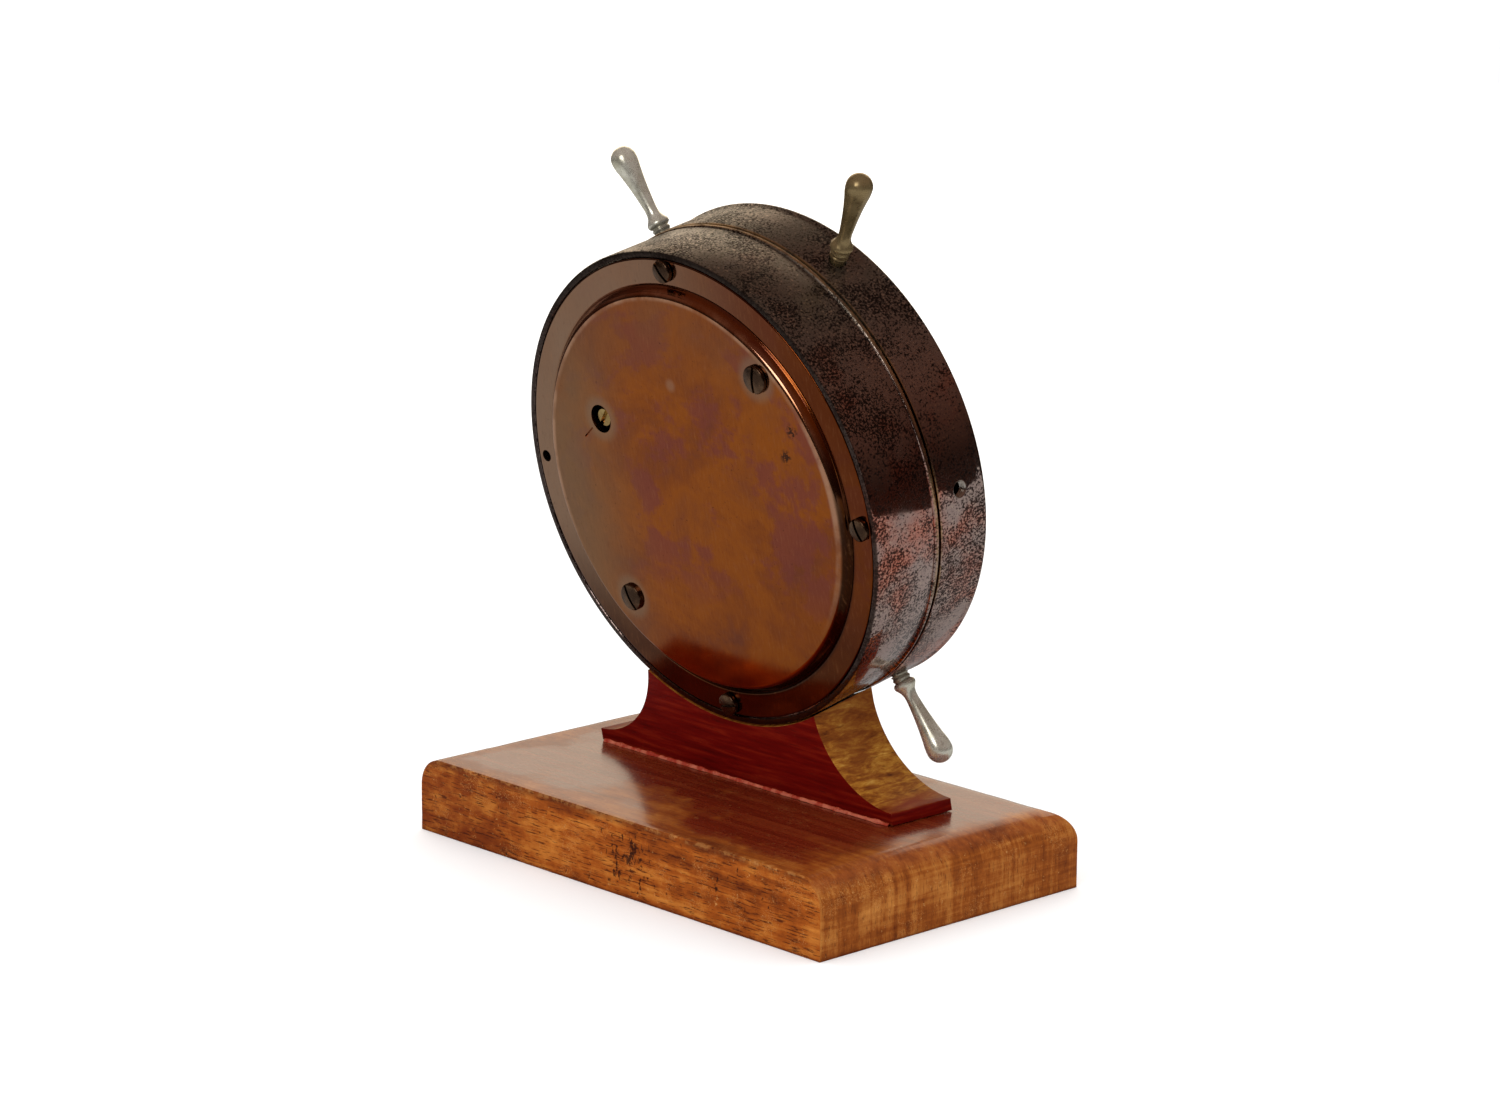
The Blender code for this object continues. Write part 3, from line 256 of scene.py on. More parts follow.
def at(x, y, z=0.0):
    return DRUM @ Matrix.Translation((x * MM, y * MM, z * MM))


def radial(angle, level):
    """A frame whose z runs outwards from the drum's axis at the angle in degrees."""
    turn = Matrix.Rotation(math.radians(angle), 4, "Z") @ Matrix.Rotation(math.pi / 2, 4, "Y")
    return DRUM @ Matrix.Translation((0.0, 0.0, level * MM)) @ turn


def polar(angle, radius):
    return (radius * math.cos(math.radians(angle)), radius * math.sin(math.radians(angle)))


def join(name, things):
    """One object from several, in the frame of the first."""
    first = things[0]
    work = bmesh.new()
    for thing in things:
        other = bmesh.new()
        other.from_mesh(thing.data)
        other.transform(first.matrix_world.inverted() @ thing.matrix_world)
        copy = bpy.data.meshes.new("part")
        other.to_mesh(copy)
        other.free()
        work.from_mesh(copy)
        bpy.data.meshes.remove(copy)
    matrix = first.matrix_world.copy()
    mesh = bpy.data.meshes.new(name)
    work.to_mesh(mesh)
    work.free()
    mesh.shade_smooth()
    mesh.set_sharp_from_angle(angle=math.radians(32))
    for thing in things:
        bpy.data.objects.remove(thing, do_unlink=True)
    return add_object(name, mesh, matrix)


def settle(piece, body, slot, material, *nodes):
    """Gives the piece its material by key, its body and the CAD nodes it stands for; slot is not
    used.
    """
    piece.data.materials.clear()
    piece.data.materials.append(MATERIALS[material])
    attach(piece, body)
    if nodes:
        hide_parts(*nodes)
    return piece


# ---------------------------------------------------------------- material helpers

class Shader:
    """A Principled material under construction, with short calls for the usual nodes."""

    def __init__(self, name, metallic=0.0, roughness=0.5, coat=0.0, coat_roughness=0.1):
        self.material = bpy.data.materials.new(name)
        self.material.use_nodes = True
        self.tree = self.material.node_tree
        self.surface = self.tree.nodes["Principled BSDF"]
        self.put("Metallic", metallic)
        self.put("Roughness", roughness)
        self.put("Coat Weight", coat)
        self.put("Coat Roughness", coat_roughness)
        self.place = self.node("ShaderNodeTexCoord").outputs["Object"]

    def node(self, kind, **settings):
        made = self.tree.nodes.new(kind)
        for key, value in settings.items():
            setattr(made, key, value)
        return made

    def feed(self, socket, value):
        if isinstance(value, bpy.types.NodeSocket):
            self.tree.links.new(value, socket)
        elif hasattr(value, "__len__") and len(value) == 3 and socket.type == "RGBA":
            socket.default_value = (*value, 1.0)
        else:
            socket.default_value = value

    def put(self, name, value):
        self.feed(self.surface.inputs[name], value)

    def stretched(self, x, y, z, source=None):
        mapping = self.node("ShaderNodeMapping")
        self.feed(mapping.inputs["Vector"], source or self.place)
        mapping.inputs["Scale"].default_value = (x, y, z)
        return mapping.outputs["Vector"]

    def noise(self, scale, detail=4.0, vector=None, rough=0.55, distortion=0.0):
        made = self.node("ShaderNodeTexNoise")
        self.feed(made.inputs["Vector"], vector or self.place)
        made.inputs["Scale"].default_value = scale
        made.inputs["Detail"].default_value = detail
        made.inputs["Roughness"].default_value = rough
        made.inputs["Distortion"].default_value = distortion
        return made.outputs["Fac"]

    def cells(self, scale, vector=None):
        made = self.node("ShaderNodeTexVoronoi")
        self.feed(made.inputs["Vector"], vector or self.place)
        made.inputs["Scale"].default_value = scale
        return made.outputs["Distance"]

    def ramp(self, factor, low, high, start=0.0, end=1.0):
        """A smooth step from start to end as the factor goes from low to high."""
        made = self.node("ShaderNodeMapRange", interpolation_type="SMOOTHSTEP")
        self.feed(made.inputs["Value"], factor)
        made.inputs["From Min"].default_value = low
        made.inputs["From Max"].default_value = high
        made.inputs["To Min"].default_value = start
        made.inputs["To Max"].default_value = end
        return made.outputs["Result"]

    def colours(self, factor, stops):
        made = self.node("ShaderNodeValToRGB")
        self.feed(made.inputs["Fac"], factor)
        band = made.color_ramp
        while len(band.elements) < len(stops):
            band.elements.new(0.5)
        for element, (position, colour) in zip(band.elements, stops):
            element.position = position
            element.color = (*colour, 1.0)
        return made.outputs["Color"]

    def mix(self, factor, first, second, blend="MIX"):
        made = self.node("ShaderNodeMix", data_type="RGBA", blend_type=blend)
        self.feed(made.inputs["Factor"], factor)
        self.feed(made.inputs[6], first)
        self.feed(made.inputs[7], second)
        return made.outputs[2]

    def math(self, operation, first, second=0.0, third=0.0):
        made = self.node("ShaderNodeMath", operation=operation)
        for socket, value in zip(made.inputs, (first, second, third)):
            self.feed(socket, value)
        return made.outputs["Value"]

    def times(self, first, second):
        return self.math("MULTIPLY", first, second)

    def plus(self, first, second):
        return self.math("ADD", first, second)

    def minus(self, first, second):
        return self.math("SUBTRACT", first, second)

    def most(self, first, second):
        return self.math("MAXIMUM", first, second)

    def axes(self, source=None):
        made = self.node("ShaderNodeSeparateXYZ")
        self.feed(made.inputs["Vector"], source or self.place)
        return made.outputs["X"], made.outputs["Y"], made.outputs["Z"]

    def distance(self, point):
        """Distance from a point in the object's own frame, in metres."""
        away = self.node("ShaderNodeVectorMath", operation="DISTANCE")
        self.feed(away.inputs[0], self.place)
        away.inputs[1].default_value = point
        return away.outputs["Value"]

    def facing(self):
        """The surface normal in the object's own frame, as three values."""
        return self.axes(self.node("ShaderNodeTexCoord").outputs["Normal"])

    def radius(self):
        """Distance from the object's z axis, in millimetres."""
        x, y, _ = self.axes()
        square = self.math("ADD", self.math("MULTIPLY", x, x), self.math("MULTIPLY", y, y))
        return self.math("MULTIPLY", self.math("SQRT", square), 1000.0)

    def bump(self, height, depth, strength=1.0, under=None):
        """Bumps of a depth in millimetres, laid over another bump if given."""
        made = self.node("ShaderNodeBump")
        self.feed(made.inputs["Height"], height)
        made.inputs["Distance"].default_value = depth * MM
        made.inputs["Strength"].default_value = strength
        if under:
            self.feed(made.inputs["Normal"], under)
        self.put("Normal", made.outputs["Normal"])
        return made.outputs["Normal"]


# ---------------------------------------------------------------- materials

def base_wood():
    """Varnished mahogany: deep red on top, worn orange on the sides, golden figure on the ends."""
    s = Shader("mahogany_base", roughness=0.5, coat_roughness=0.19)
    s.put("Specular IOR Level", 0.03)
    x, y, z = s.axes()
    face_x, _, face_z = s.facing()
    on_end = s.ramp(s.math("ABSOLUTE", face_x), 0.40, 0.75)
    on_top = s.ramp(face_z, 0.45, 0.9)
    off_top = s.minus(1.0, on_top)

    # Three kinds of figure: mottled side, ribbon-figured end, dark red top
    mottle = s.noise(70.0, 9.0, s.stretched(0.7, 1.0, 1.0), 0.72)
    streak = s.noise(1.0, 6.0, s.stretched(22.0, 420.0, 420.0), 0.65, 0.3)
    figure = s.plus(s.times(mottle, 0.6), s.times(streak, 0.4))
    side = s.colours(figure, [(0.38, (0.11, 0.019, 0.003)), (0.50, (0.29, 0.066, 0.007)),
                              (0.62, (0.48, 0.165, 0.026))])
    aged = s.times(s.ramp(x, 0.020, 0.062), s.ramp(mottle, 0.62, 0.42, 0.35, 0.9))
    side = s.mix(aged, side, (0.135, 0.022, 0.004))
    ribbon = s.noise(1.0, 6.0, s.stretched(9.0, 230.0, 9.0), 0.7, 0.5)
    crossed = s.noise(1.0, 4.0, s.stretched(30.0, 30.0, 900.0), 0.6)
    banded = s.plus(s.times(ribbon, 0.36), s.times(mottle, 0.44))
    banded = s.plus(banded, s.times(crossed, 0.20))
    end = s.colours(banded, [(0.39, (0.10, 0.018, 0.003)), (0.50, (0.24, 0.062, 0.009)),
                             (0.61, (0.43, 0.165, 0.034))])
    cloud = s.noise(26.0, 7.0, rough=0.65)
    near_rim = s.ramp(s.most(s.math("DIVIDE", s.math("ABSOLUTE", x), 1.667), y), 0.036, 0.045, 0.0,
                      0.22)
    bare = s.ramp(s.plus(cloud, near_rim), 0.50, 0.66)
    red = s.colours(streak, [(0.25, (0.075, 0.006, 0.0015)), (0.5, (0.125, 0.013, 0.003)),
                             (0.78, (0.19, 0.035, 0.008))])
    top = s.mix(bare, red, s.mix(0.35, side, (0.16, 0.036, 0.008)))
    colour = s.mix(on_top, s.mix(on_end, side, end), top)

    fine = s.noise(1.0, 3.0, s.stretched(200.0, 2500.0, 2500.0), 0.6)
    pores = s.times(s.ramp(fine, 0.56, 0.63), s.ramp(on_end, 0.5, 0.0))
    pores = s.times(pores, s.ramp(on_top, 0.0, 1.0, 0.85, 0.3))
    colour = s.mix(pores, colour, (0.055, 0.010, 0.003))
    end_fine = s.noise(1.0, 3.0, s.stretched(420.0, 2600.0, 420.0), 0.6)
    end_pores = s.times(s.ramp(end_fine, 0.57, 0.66), s.times(on_end, 0.6))
    colour = s.mix(end_pores, colour, (0.07, 0.016, 0.004))

    # Wear: rubbed upper edge, light scratches, chips and a cluster of dark dents
    from_side = s.minus(BASE_HALF[1] * MM, y)
    from_top = s.minus(BASE_TOP * MM, z)
    near_edge = s.plus(s.math("ABSOLUTE", from_side), s.math("ABSOLUTE", from_top))
    broken = s.ramp(s.noise(420.0, 7.0, rough=0.75), 0.47, 0.56)
    rub = s.times(s.ramp(near_edge, 0.0016, 0.0004), s.times(broken, 0.6))
    scratch = s.noise(1.0, 5.0, s.stretched(420.0, 420.0, 520.0), 0.6, 2.2)
    lines = s.ramp(s.math("ABSOLUTE", s.minus(scratch, 0.5)), 0.012, 0.004)
    lines = s.times(lines, s.ramp(s.noise(90.0, 4.0), 0.52, 0.58))
    chips = s.ramp(s.noise(620.0, 6.0, rough=0.75), 0.62, 0.66)
    worn = s.most(s.most(rub, s.times(lines, 0.55)), s.times(chips, 0.6))
    worn = s.times(worn, s.ramp(on_top, 0.0, 1.0, 1.0, 0.45))
    colour = s.mix(worn, colour, (0.58, 0.27, 0.08))
    dx = s.plus(x, 0.006)
    dz = s.minus(z, 0.011)
    reach = s.math("SQRT", s.plus(s.times(dx, dx), s.times(dz, dz)))
    crowded = s.times(s.ramp(reach, 0.011, 0.003, 0.0, 0.16), off_top)
    pocks = s.noise(1.0, 4.0, s.stretched(620.0, 620.0, 380.0), 0.65)
    patchy = s.ramp(s.plus(pocks, crowded), 0.66, 0.70)
    dents = s.times(patchy, s.ramp(y, 0.04, 0.045))
    few = s.times(s.ramp(s.cells(75.0), 0.05, 0.02), s.ramp(cloud, 0.56, 0.6))
    dents = s.most(dents, s.times(few, off_top))
    colour = s.mix(s.times(dents, 0.85), colour, (0.02, 0.005, 0.003))
    # Darker along the lowest 0.9 mm of the board, and in cloudy patches near the rubbed upper edge
    darkening = s.ramp(z, 0.0009, 0.0, 0.0, 0.7)
    corner = s.times(s.ramp(near_edge, 0.0024, 0.0010, 0.0, 0.5), s.ramp(cloud, 0.4, 0.5))
    colour = s.mix(s.most(darkening, s.times(corner, off_top)), colour, (0.075, 0.014, 0.004))
    s.put("Base Color", colour)

    varnish = s.minus(1.0, s.times(bare, 0.25))
    gloss = s.plus(s.times(on_top, 0.98), 0.02)
    s.put("Coat Weight", s.times(varnish, gloss))
    s.put("Roughness", s.ramp(s.most(worn, bare), 0.0, 1.0, 0.42, 0.6))
    height = s.minus(s.times(mottle, 0.5), pores)
    height = s.minus(height, s.times(dents, 3.0))
    height = s.minus(height, s.times(chips, 0.6))
    s.bump(height, 0.09, 0.8)
    return s.material


def cradle_wood():
    """Deep red lacquer on the faces and toes; the hollow flanks are rubbed to golden brown."""
    s = Shader("cradle_wood", roughness=0.45, coat=0.025, coat_roughness=0.14)
    s.put("Specular IOR Level", 0.03)
    _, _, z = s.axes()
    _, face_y, _ = s.facing()
    flank_face = s.ramp(s.math("ABSOLUTE", face_y), 0.75, 0.45)
    above_toe = s.ramp(z, (CRADLE_TOE[1] - 0.5) * MM, (CRADLE_TOE[1] + 1.5) * MM)
    gilt = s.times(flank_face, above_toe)
    streak = s.noise(1.0, 6.0, s.stretched(45.0, 45.0, 600.0), 0.6, 0.25)
    fine = s.noise(1.0, 4.0, s.stretched(180.0, 180.0, 2200.0), 0.6)
    face = s.colours(streak, [(0.25, (0.055, 0.001, 0.0008)), (0.5, (0.112, 0.0022, 0.0012)),
                              (0.78, (0.21, 0.014, 0.004))])
    glow = s.noise(1.0, 8.0, s.stretched(430.0, 110.0, 430.0), 0.75, 0.4)
    gold = s.colours(glow, [(0.32, (0.06, 0.012, 0.003)), (0.47, (0.21, 0.062, 0.008)),
                            (0.58, (0.34, 0.14, 0.018)), (0.72, (0.56, 0.30, 0.06))])
    patch = s.ramp(s.noise(60.0, 5.0), 0.44, 0.62)
    gold = s.mix(s.times(patch, 0.5), gold, (0.15, 0.034, 0.006))
    colour = s.mix(gilt, face, gold)
    pores = s.ramp(fine, 0.6, 0.72)
    colour = s.mix(s.times(pores, 0.5), colour, (0.025, 0.001, 0.001))
    rub = s.ramp(s.noise(420.0, 6.0, rough=0.7), 0.66, 0.74)
    colour = s.mix(s.times(rub, 0.35), colour, (0.38, 0.10, 0.03))
    turning = s.math("ABSOLUTE", face_y)
    on_edge = s.times(s.ramp(turning, 0.97, 0.88), s.ramp(turning, 0.30, 0.45))
    chafed = s.times(on_edge, s.ramp(s.noise(330.0, 6.0, rough=0.7), 0.44, 0.54))
    colour = s.mix(s.times(chafed, 0.75), colour, (0.46, 0.20, 0.06))
    s.put("Base Color", colour)
    s.put("Roughness", s.ramp(rub, 0.0, 1.0, 0.4, 0.6))
    height = s.minus(s.times(streak, 0.4), s.times(pores, 0.6))
    s.bump(height, 0.06, 0.7)
    return s.material


def glue_lacquer():
    """The lacquer that ran with the glue: a little brighter and glossier."""
    s = Shader("glue_lacquer", roughness=0.3, coat=0.3, coat_roughness=0.12)
    cloud = s.ramp(s.noise(300.0, 4.0), 0.35, 0.65)
    s.put("Base Color", s.mix(cloud, (0.30, 0.024, 0.011), (0.52, 0.12, 0.06)))
    s.put("Roughness", s.ramp(cloud, 0.0, 1.0, 0.2, 0.4))
    s.bump(s.noise(900.0, 3.0), 0.05, 0.6)
    return s.material


def dark_bronze():
    """Polished bronze under brown tarnish: dense specks, a dull top, golden worn beads."""
    s = Shader("dark_bronze", metallic=1.0, roughness=0.07)
    _, y, z = s.axes()
    dull = s.plus(s.ramp(y, 0.018, 0.054), s.ramp(s.noise(60.0, 4.0), 0.3, 0.7, -0.12, 0.12))
    warm = s.ramp(s.noise(38.0, 4.0, rough=0.6), 0.5, 0.68)
    colour = s.mix(warm, (0.56, 0.41, 0.37), (0.84, 0.26, 0.17))
    cloud = s.ramp(s.noise(22.0, 5.0), 0.35, 0.7)
    colour = s.mix(s.times(cloud, 0.4), colour, (0.32, 0.26, 0.24))
    colour = s.mix(s.times(dull, 0.85), colour, (0.21, 0.195, 0.155))
    speck_noise = s.noise(1650.0, 5.0, rough=0.7)
    density = s.ramp(s.noise(75.0, 5.0, rough=0.65), 0.36, 0.60, 0.0, 0.11)
    limit = s.minus(0.59, density)
    pits = s.ramp(s.minus(speck_noise, limit), -0.006, 0.010)
    dust = s.ramp(speck_noise, 0.42, 0.36)
    colour = s.mix(s.times(pits, 0.93), colour, (0.022, 0.013, 0.010))
    colour = s.mix(s.times(dust, 0.6), colour, (0.86, 0.68, 0.50))
    bead = s.times(s.ramp(z, 0.0206, 0.0211), s.ramp(z, 0.0229, 0.0224))
    bead = s.times(bead, s.ramp(y, -0.045, -0.005))
    bead = s.times(bead, s.ramp(s.noise(160.0, 5.0), 0.35, 0.55, 0.15, 0.75))
    colour = s.mix(bead, colour, (0.70, 0.47, 0.24))
    lip = s.ramp(z, 0.0006, 0.0002)
    colour = s.mix(s.times(lip, 0.9), colour, (0.04, 0.025, 0.02))
    s.put("Base Color", colour)
    rough = s.plus(s.ramp(speck_noise, 0.35, 0.65, 0.04, 0.10), s.times(dull, 0.34))
    s.put("Roughness", s.plus(rough, s.times(pits, 0.15)))
    height = s.minus(s.times(s.noise(700.0, 3.0), 0.3), pits)
    s.bump(height, 0.01, 0.4)
    return s.material


def halo(s, x, y, place, near, far, strength):
    """A soft disc around a place on the drum's back, fading out between two radii."""
    dx = s.minus(x, place[0] * MM)
    dy = s.minus(y, place[1] * MM)
    away = s.math("SQRT", s.plus(s.times(dx, dx), s.times(dy, dy)))
    return s.ramp(away, far * MM, near * MM, 0.0, strength)


def copper_cover():
    """Copper with heat and age colours, orange, violet-brown and grey-brown towards the rim, and
    painted light and shade.
    """
    s = Shader("copper_patina", metallic=1.0, roughness=0.12)
    x, y, _ = s.axes()
    large = s.noise(34.0, 7.0, rough=0.62, distortion=0.4)
    colour = s.colours(large, [(0.34, (0.30, 0.085, 0.038)), (0.44, (0.40, 0.105, 0.022)),
                               (0.53, (0.50, 0.135, 0.018)), (0.62, (0.42, 0.115, 0.026)),
                               (0.74, (0.33, 0.09, 0.045))])
    violet = s.ramp(s.noise(40.0, 6.0, s.stretched(1.0, 1.2, 40.0), 0.65), 0.50, 0.60)
    not_low = s.ramp(y, -0.040, -0.012)
    violet = s.times(s.times(violet, not_low), 0.75)
    colour = s.mix(violet, colour, (0.34, 0.085, 0.062))
    away = s.ramp(x, 0.012, 0.050)
    dull = s.times(away, s.ramp(s.noise(30.0, 5.0), 0.25, 0.6, 0.45, 1.0))
    colour = s.mix(s.times(dull, 0.85), colour, (0.33, 0.19, 0.10))
    upper = s.times(s.ramp(y, 0.022, 0.048), s.ramp(s.noise(30.0, 5.0, rough=0.6), 0.4, 0.6, 0.3,
                                                    0.7))
    colour = s.mix(upper, colour, (0.34, 0.125, 0.055))
    radius = s.radius()
    flange = s.ramp(radius, DISC_FOOT_R - 0.6, DISC_FOOT_R + 0.8)
    # The flange: copper tone with painted light and shade, lighter towards +x and darker towards -x,
    # and near-black at the bottom as a painted dark reflection of the base
    rim_tone_lit_and_shaded = s.mix(s.ramp(x, -0.045, 0.03), (0.17, 0.035, 0.006), (0.42, 0.26, 0.17))
    rim_tone_lit_and_shaded = s.mix(s.ramp(y, -0.012, -0.05, 0.0, 0.92), rim_tone_lit_and_shaded, (0.075, 0.022, 0.010))
    greyed = s.ramp(s.noise(26.0, 4.0), 0.35, 0.65, 0.75, 1.0)
    colour = s.mix(s.times(flange, greyed), colour, rim_tone_lit_and_shaded)
    # Painted highlight: a pale streak along the shoulder's crest, on the upper part only
    crest = s.times(s.ramp(radius, 51.2, 52.3), s.ramp(radius, 54.4, 53.3))
    bright = s.ramp(s.noise(120.0, 5.0), 0.35, 0.6, 0.15, 0.7)
    bright = s.times(bright, s.ramp(y, -0.035, 0.0))
    colour = s.mix(s.times(crest, bright), colour, (0.80, 0.46, 0.29))

    # Painted shade: the shoulder and groove at the lower right are darkened near-black, standing in
    # for a dark reflection
    lower_right = s.minus(s.times(x, -0.75), s.times(y, 0.65))
    painted_shade_lower_right = s.times(s.ramp(radius, 52.9, 53.6), s.ramp(radius, 56.6, 55.0))
    painted_shade_lower_right = s.times(painted_shade_lower_right, s.ramp(lower_right, 0.018, 0.042, 0.0, 0.93))
    colour = s.mix(painted_shade_lower_right, colour, (0.025, 0.009, 0.004))

    grain = s.noise(1.0, 6.0, s.stretched(1500.0, 260.0, 1.0), 0.7)
    colour = s.mix(s.ramp(grain, 0.50, 0.75, 0.0, 0.22), colour, (0.66, 0.28, 0.12))
    colour = s.mix(s.ramp(grain, 0.48, 0.25, 0.0, 0.30), colour, (0.18, 0.045, 0.018))
    specks = s.ramp(s.noise(900.0, 5.0, rough=0.7), 0.64, 0.70)
    colour = s.mix(s.times(specks, 0.6), colour, (0.06, 0.02, 0.012))
    for place in list(MOVEMENT_SCREWS.values()) + [REGULATOR]:
        colour = s.mix(halo(s, x, y, place, 4.2, 7.4, 0.5), colour, (0.40, 0.27, 0.17))
    for place in ((-41.5, 23.4), (-38.3, 16.3)):
        spot = s.times(halo(s, x, y, place, 0.8, 2.6, 0.9), s.ramp(s.noise(1100.0, 3.0), 0.46,
                                                                   0.56))
        colour = s.mix(spot, colour, (0.05, 0.025, 0.018))
    colour = s.mix(halo(s, x, y, (1.1, 29.4), 0.6, 2.4, 0.45), colour, (0.60, 0.33, 0.20))
    marks = s.ramp(s.noise(1.0, 6.0, s.stretched(150.0, 620.0, 1.0), 0.75), 0.70, 0.74)
    colour = s.mix(s.times(marks, 0.3), colour, (0.66, 0.36, 0.2))
    s.put("Base Color", colour)
    rough = s.ramp(s.noise(60.0, 6.0, rough=0.7), 0.3, 0.7, 0.08, 0.14)
    rough = s.plus(rough, s.times(dull, 0.06))
    s.put("Roughness", rough)
    height = s.minus(s.times(grain, 0.3), specks)
    s.bump(height, 0.010, 0.35)
    return s.material


def spoke_metal(name, bright, worn, patina):
    """Satin turned metal, stained in the grooves at its foot and in cloudy patches."""
    s = Shader(name, metallic=0.78, roughness=0.27)
    hub = DRUM @ Vector((0.0, 0.0, SPOKE_PLANE * MM))
    from_hub = s.distance(hub)
    tone = s.ramp(s.noise(150.0, 6.0, rough=0.65), 0.40, 0.66)
    colour = s.mix(tone, bright, worn)
    grooves = s.ramp(from_hub, 0.0685, 0.0660, 0.0, 0.6)
    stains = s.ramp(s.noise(330.0, 6.0, rough=0.7), 0.58, 0.72, 0.0, 0.4)
    colour = s.mix(s.most(grooves, stains), colour, patina)
    s.put("Base Color", colour)
    s.put("Roughness", s.ramp(s.noise(500.0, 5.0), 0.3, 0.7, 0.2, 0.36))
    s.bump(s.noise(900.0, 4.0), 0.005, 0.22)
    return s.material


def metal(name, base, second, roughness, scale=220.0, dirt=0.3, darkening=(0.03, 0.022, 0.015)):
    """A worked metal: two tones, dirt in fine pits, and uneven polish."""
    s = Shader(name, metallic=1.0, roughness=roughness)
    tone = s.ramp(s.noise(scale, 5.0, rough=0.6), 0.35, 0.65)
    colour = s.mix(tone, base, second)
    pits = s.ramp(s.noise(scale * 9.0, 4.0, rough=0.7), 0.56, 0.68)
    colour = s.mix(s.times(pits, dirt), colour, darkening)
    s.put("Base Color", colour)
    s.put("Roughness", s.ramp(s.noise(scale * 3.0, 5.0), 0.3, 0.7, roughness * 0.7,
                              roughness * 1.5))
    s.bump(s.minus(s.noise(scale * 5.0, 3.0), pits), 0.02, 0.4)
    return s.material


def brushed(name, base, second, roughness, direction=(40.0, 2600.0, 2600.0)):
    """Metal finished with straight fine lines."""
    s = Shader(name, metallic=1.0, roughness=roughness)
    lines = s.noise(1.0, 4.0, s.stretched(*direction), 0.6)
    tone = s.ramp(s.noise(90.0, 4.0), 0.35, 0.65)
    s.put("Base Color", s.mix(tone, s.mix(lines, base, second), base))
    s.put("Roughness", s.ramp(lines, 0.3, 0.7, roughness * 0.8, roughness * 1.4))
    s.bump(lines, 0.01, 0.5)
    return s.material


def clear_glass():
    s = Shader("crystal", roughness=0.03)
    s.put("Base Color", (0.97, 0.99, 0.98))
    s.put("Transmission Weight", 1.0)
    s.put("IOR", 1.46)
    smears = s.noise(60.0, 4.0, rough=0.7)
    s.put("Roughness", s.ramp(smears, 0.4, 0.8, 0.01, 0.06))
    return s.material


def dial_paint():
    """Silvered white with a little age in it."""
    s = Shader("dial_paint", roughness=0.42, coat=0.15, coat_roughness=0.3)
    cloud = s.ramp(s.noise(45.0, 5.0, rough=0.6), 0.35, 0.7)
    colour = s.mix(cloud, (0.82, 0.80, 0.73), (0.74, 0.70, 0.61))
    spots = s.ramp(s.noise(600.0, 4.0, rough=0.7), 0.68, 0.74)
    colour = s.mix(s.times(spots, 0.4), colour, (0.42, 0.33, 0.22))
    s.put("Base Color", colour)
    s.put("Roughness", s.ramp(cloud, 0.0, 1.0, 0.36, 0.5))
    s.bump(s.noise(1800.0, 3.0), 0.01, 0.35)
    return s.material


def black_paint():
    s = Shader("black_paint", roughness=0.35, coat=0.3, coat_roughness=0.2)
    wear = s.ramp(s.noise(500.0, 5.0, rough=0.7), 0.62, 0.74)
    s.put("Base Color", s.mix(wear, (0.012, 0.012, 0.013), (0.045, 0.04, 0.036)))
    s.put("Roughness", s.ramp(wear, 0.0, 1.0, 0.3, 0.5))
    s.bump(s.noise(1500.0, 3.0), 0.008, 0.4)
    return s.material


def floor_paint(name, tone):
    s = Shader(name, roughness=0.6)
    s.put("Specular IOR Level", 0.0)
    s.put("Base Color", s.mix(s.noise(3.0, 3.0), (tone,) * 3, (tone * 0.98,) * 3))
    s.put("Roughness", s.ramp(s.noise(40.0, 4.0), 0.3, 0.7, 0.5, 0.7))
    return s.material


MATERIALS = {
    "base": base_wood(),
    "cradle": cradle_wood(),
    "glue": glue_lacquer(),
    "bronze": dark_bronze(),
    "copper": copper_cover(),
    "screw": metal("dark_screw", (0.20, 0.115, 0.065), (0.08, 0.045, 0.028), 0.24, 240.0, 0.6),
    "thread": metal("thread_metal", (0.62, 0.56, 0.50), (0.44, 0.38, 0.32), 0.2, 300.0, 0.25),
    "nickel": spoke_metal("aged_nickel", (0.90, 0.88, 0.75), (0.62, 0.59, 0.46), (0.16, 0.13, 0.07)),
    "tarnished": spoke_metal("tarnished_nickel", (0.32, 0.23, 0.11), (0.20, 0.14, 0.06),
                             (0.09, 0.06, 0.025)),
    "brass": metal("brass", (0.66, 0.47, 0.19), (0.52, 0.35, 0.13), 0.24, 160.0, 0.3),
    "plate_brass": brushed("plate_brass", (0.70, 0.52, 0.23), (0.56, 0.40, 0.16), 0.26),
    "steel": brushed("polished_steel", (0.56, 0.57, 0.58), (0.44, 0.45, 0.46), 0.2),
    "blued": metal("blued_steel", (0.02, 0.045, 0.19), (0.035, 0.03, 0.13), 0.18, 200.0, 0.2),
    "glass": clear_glass(),
    "dial": dial_paint(),
    "black": black_paint(),
}


# ---------------------------------------------------------------- stand

def worn_edges(thing, depth, scale):
    """Presses small, soft dents into the surface, always inwards."""
    mesh = thing.data
    normals = [v.normal.copy() for v in mesh.vertices]
    for vertex, normal in zip(mesh.vertices, normals):
        value = noise.noise(vertex.co * scale) + 0.5 * noise.noise(vertex.co * scale * 2.7)
        vertex.co -= normal * max(0.0, value) * depth * MM
    mesh.update()


def sliced(thing, normal, levels):
    """Cuts extra edge loops across the piece, in the world's frame, for the dents to use."""
    work = bmesh.new()
    work.from_mesh(thing.data)
    work.transform(thing.matrix_world)
    for level in levels:
        geometry = work.verts[:] + work.edges[:] + work.faces[:]
        bmesh.ops.bisect_plane(work, geom=geometry, plane_co=Vector(normal) * level * MM,
                               plane_no=normal)
    thing.matrix_world = Matrix.Identity(4)
    thing.data = finish_mesh(work, thing.name, 40)


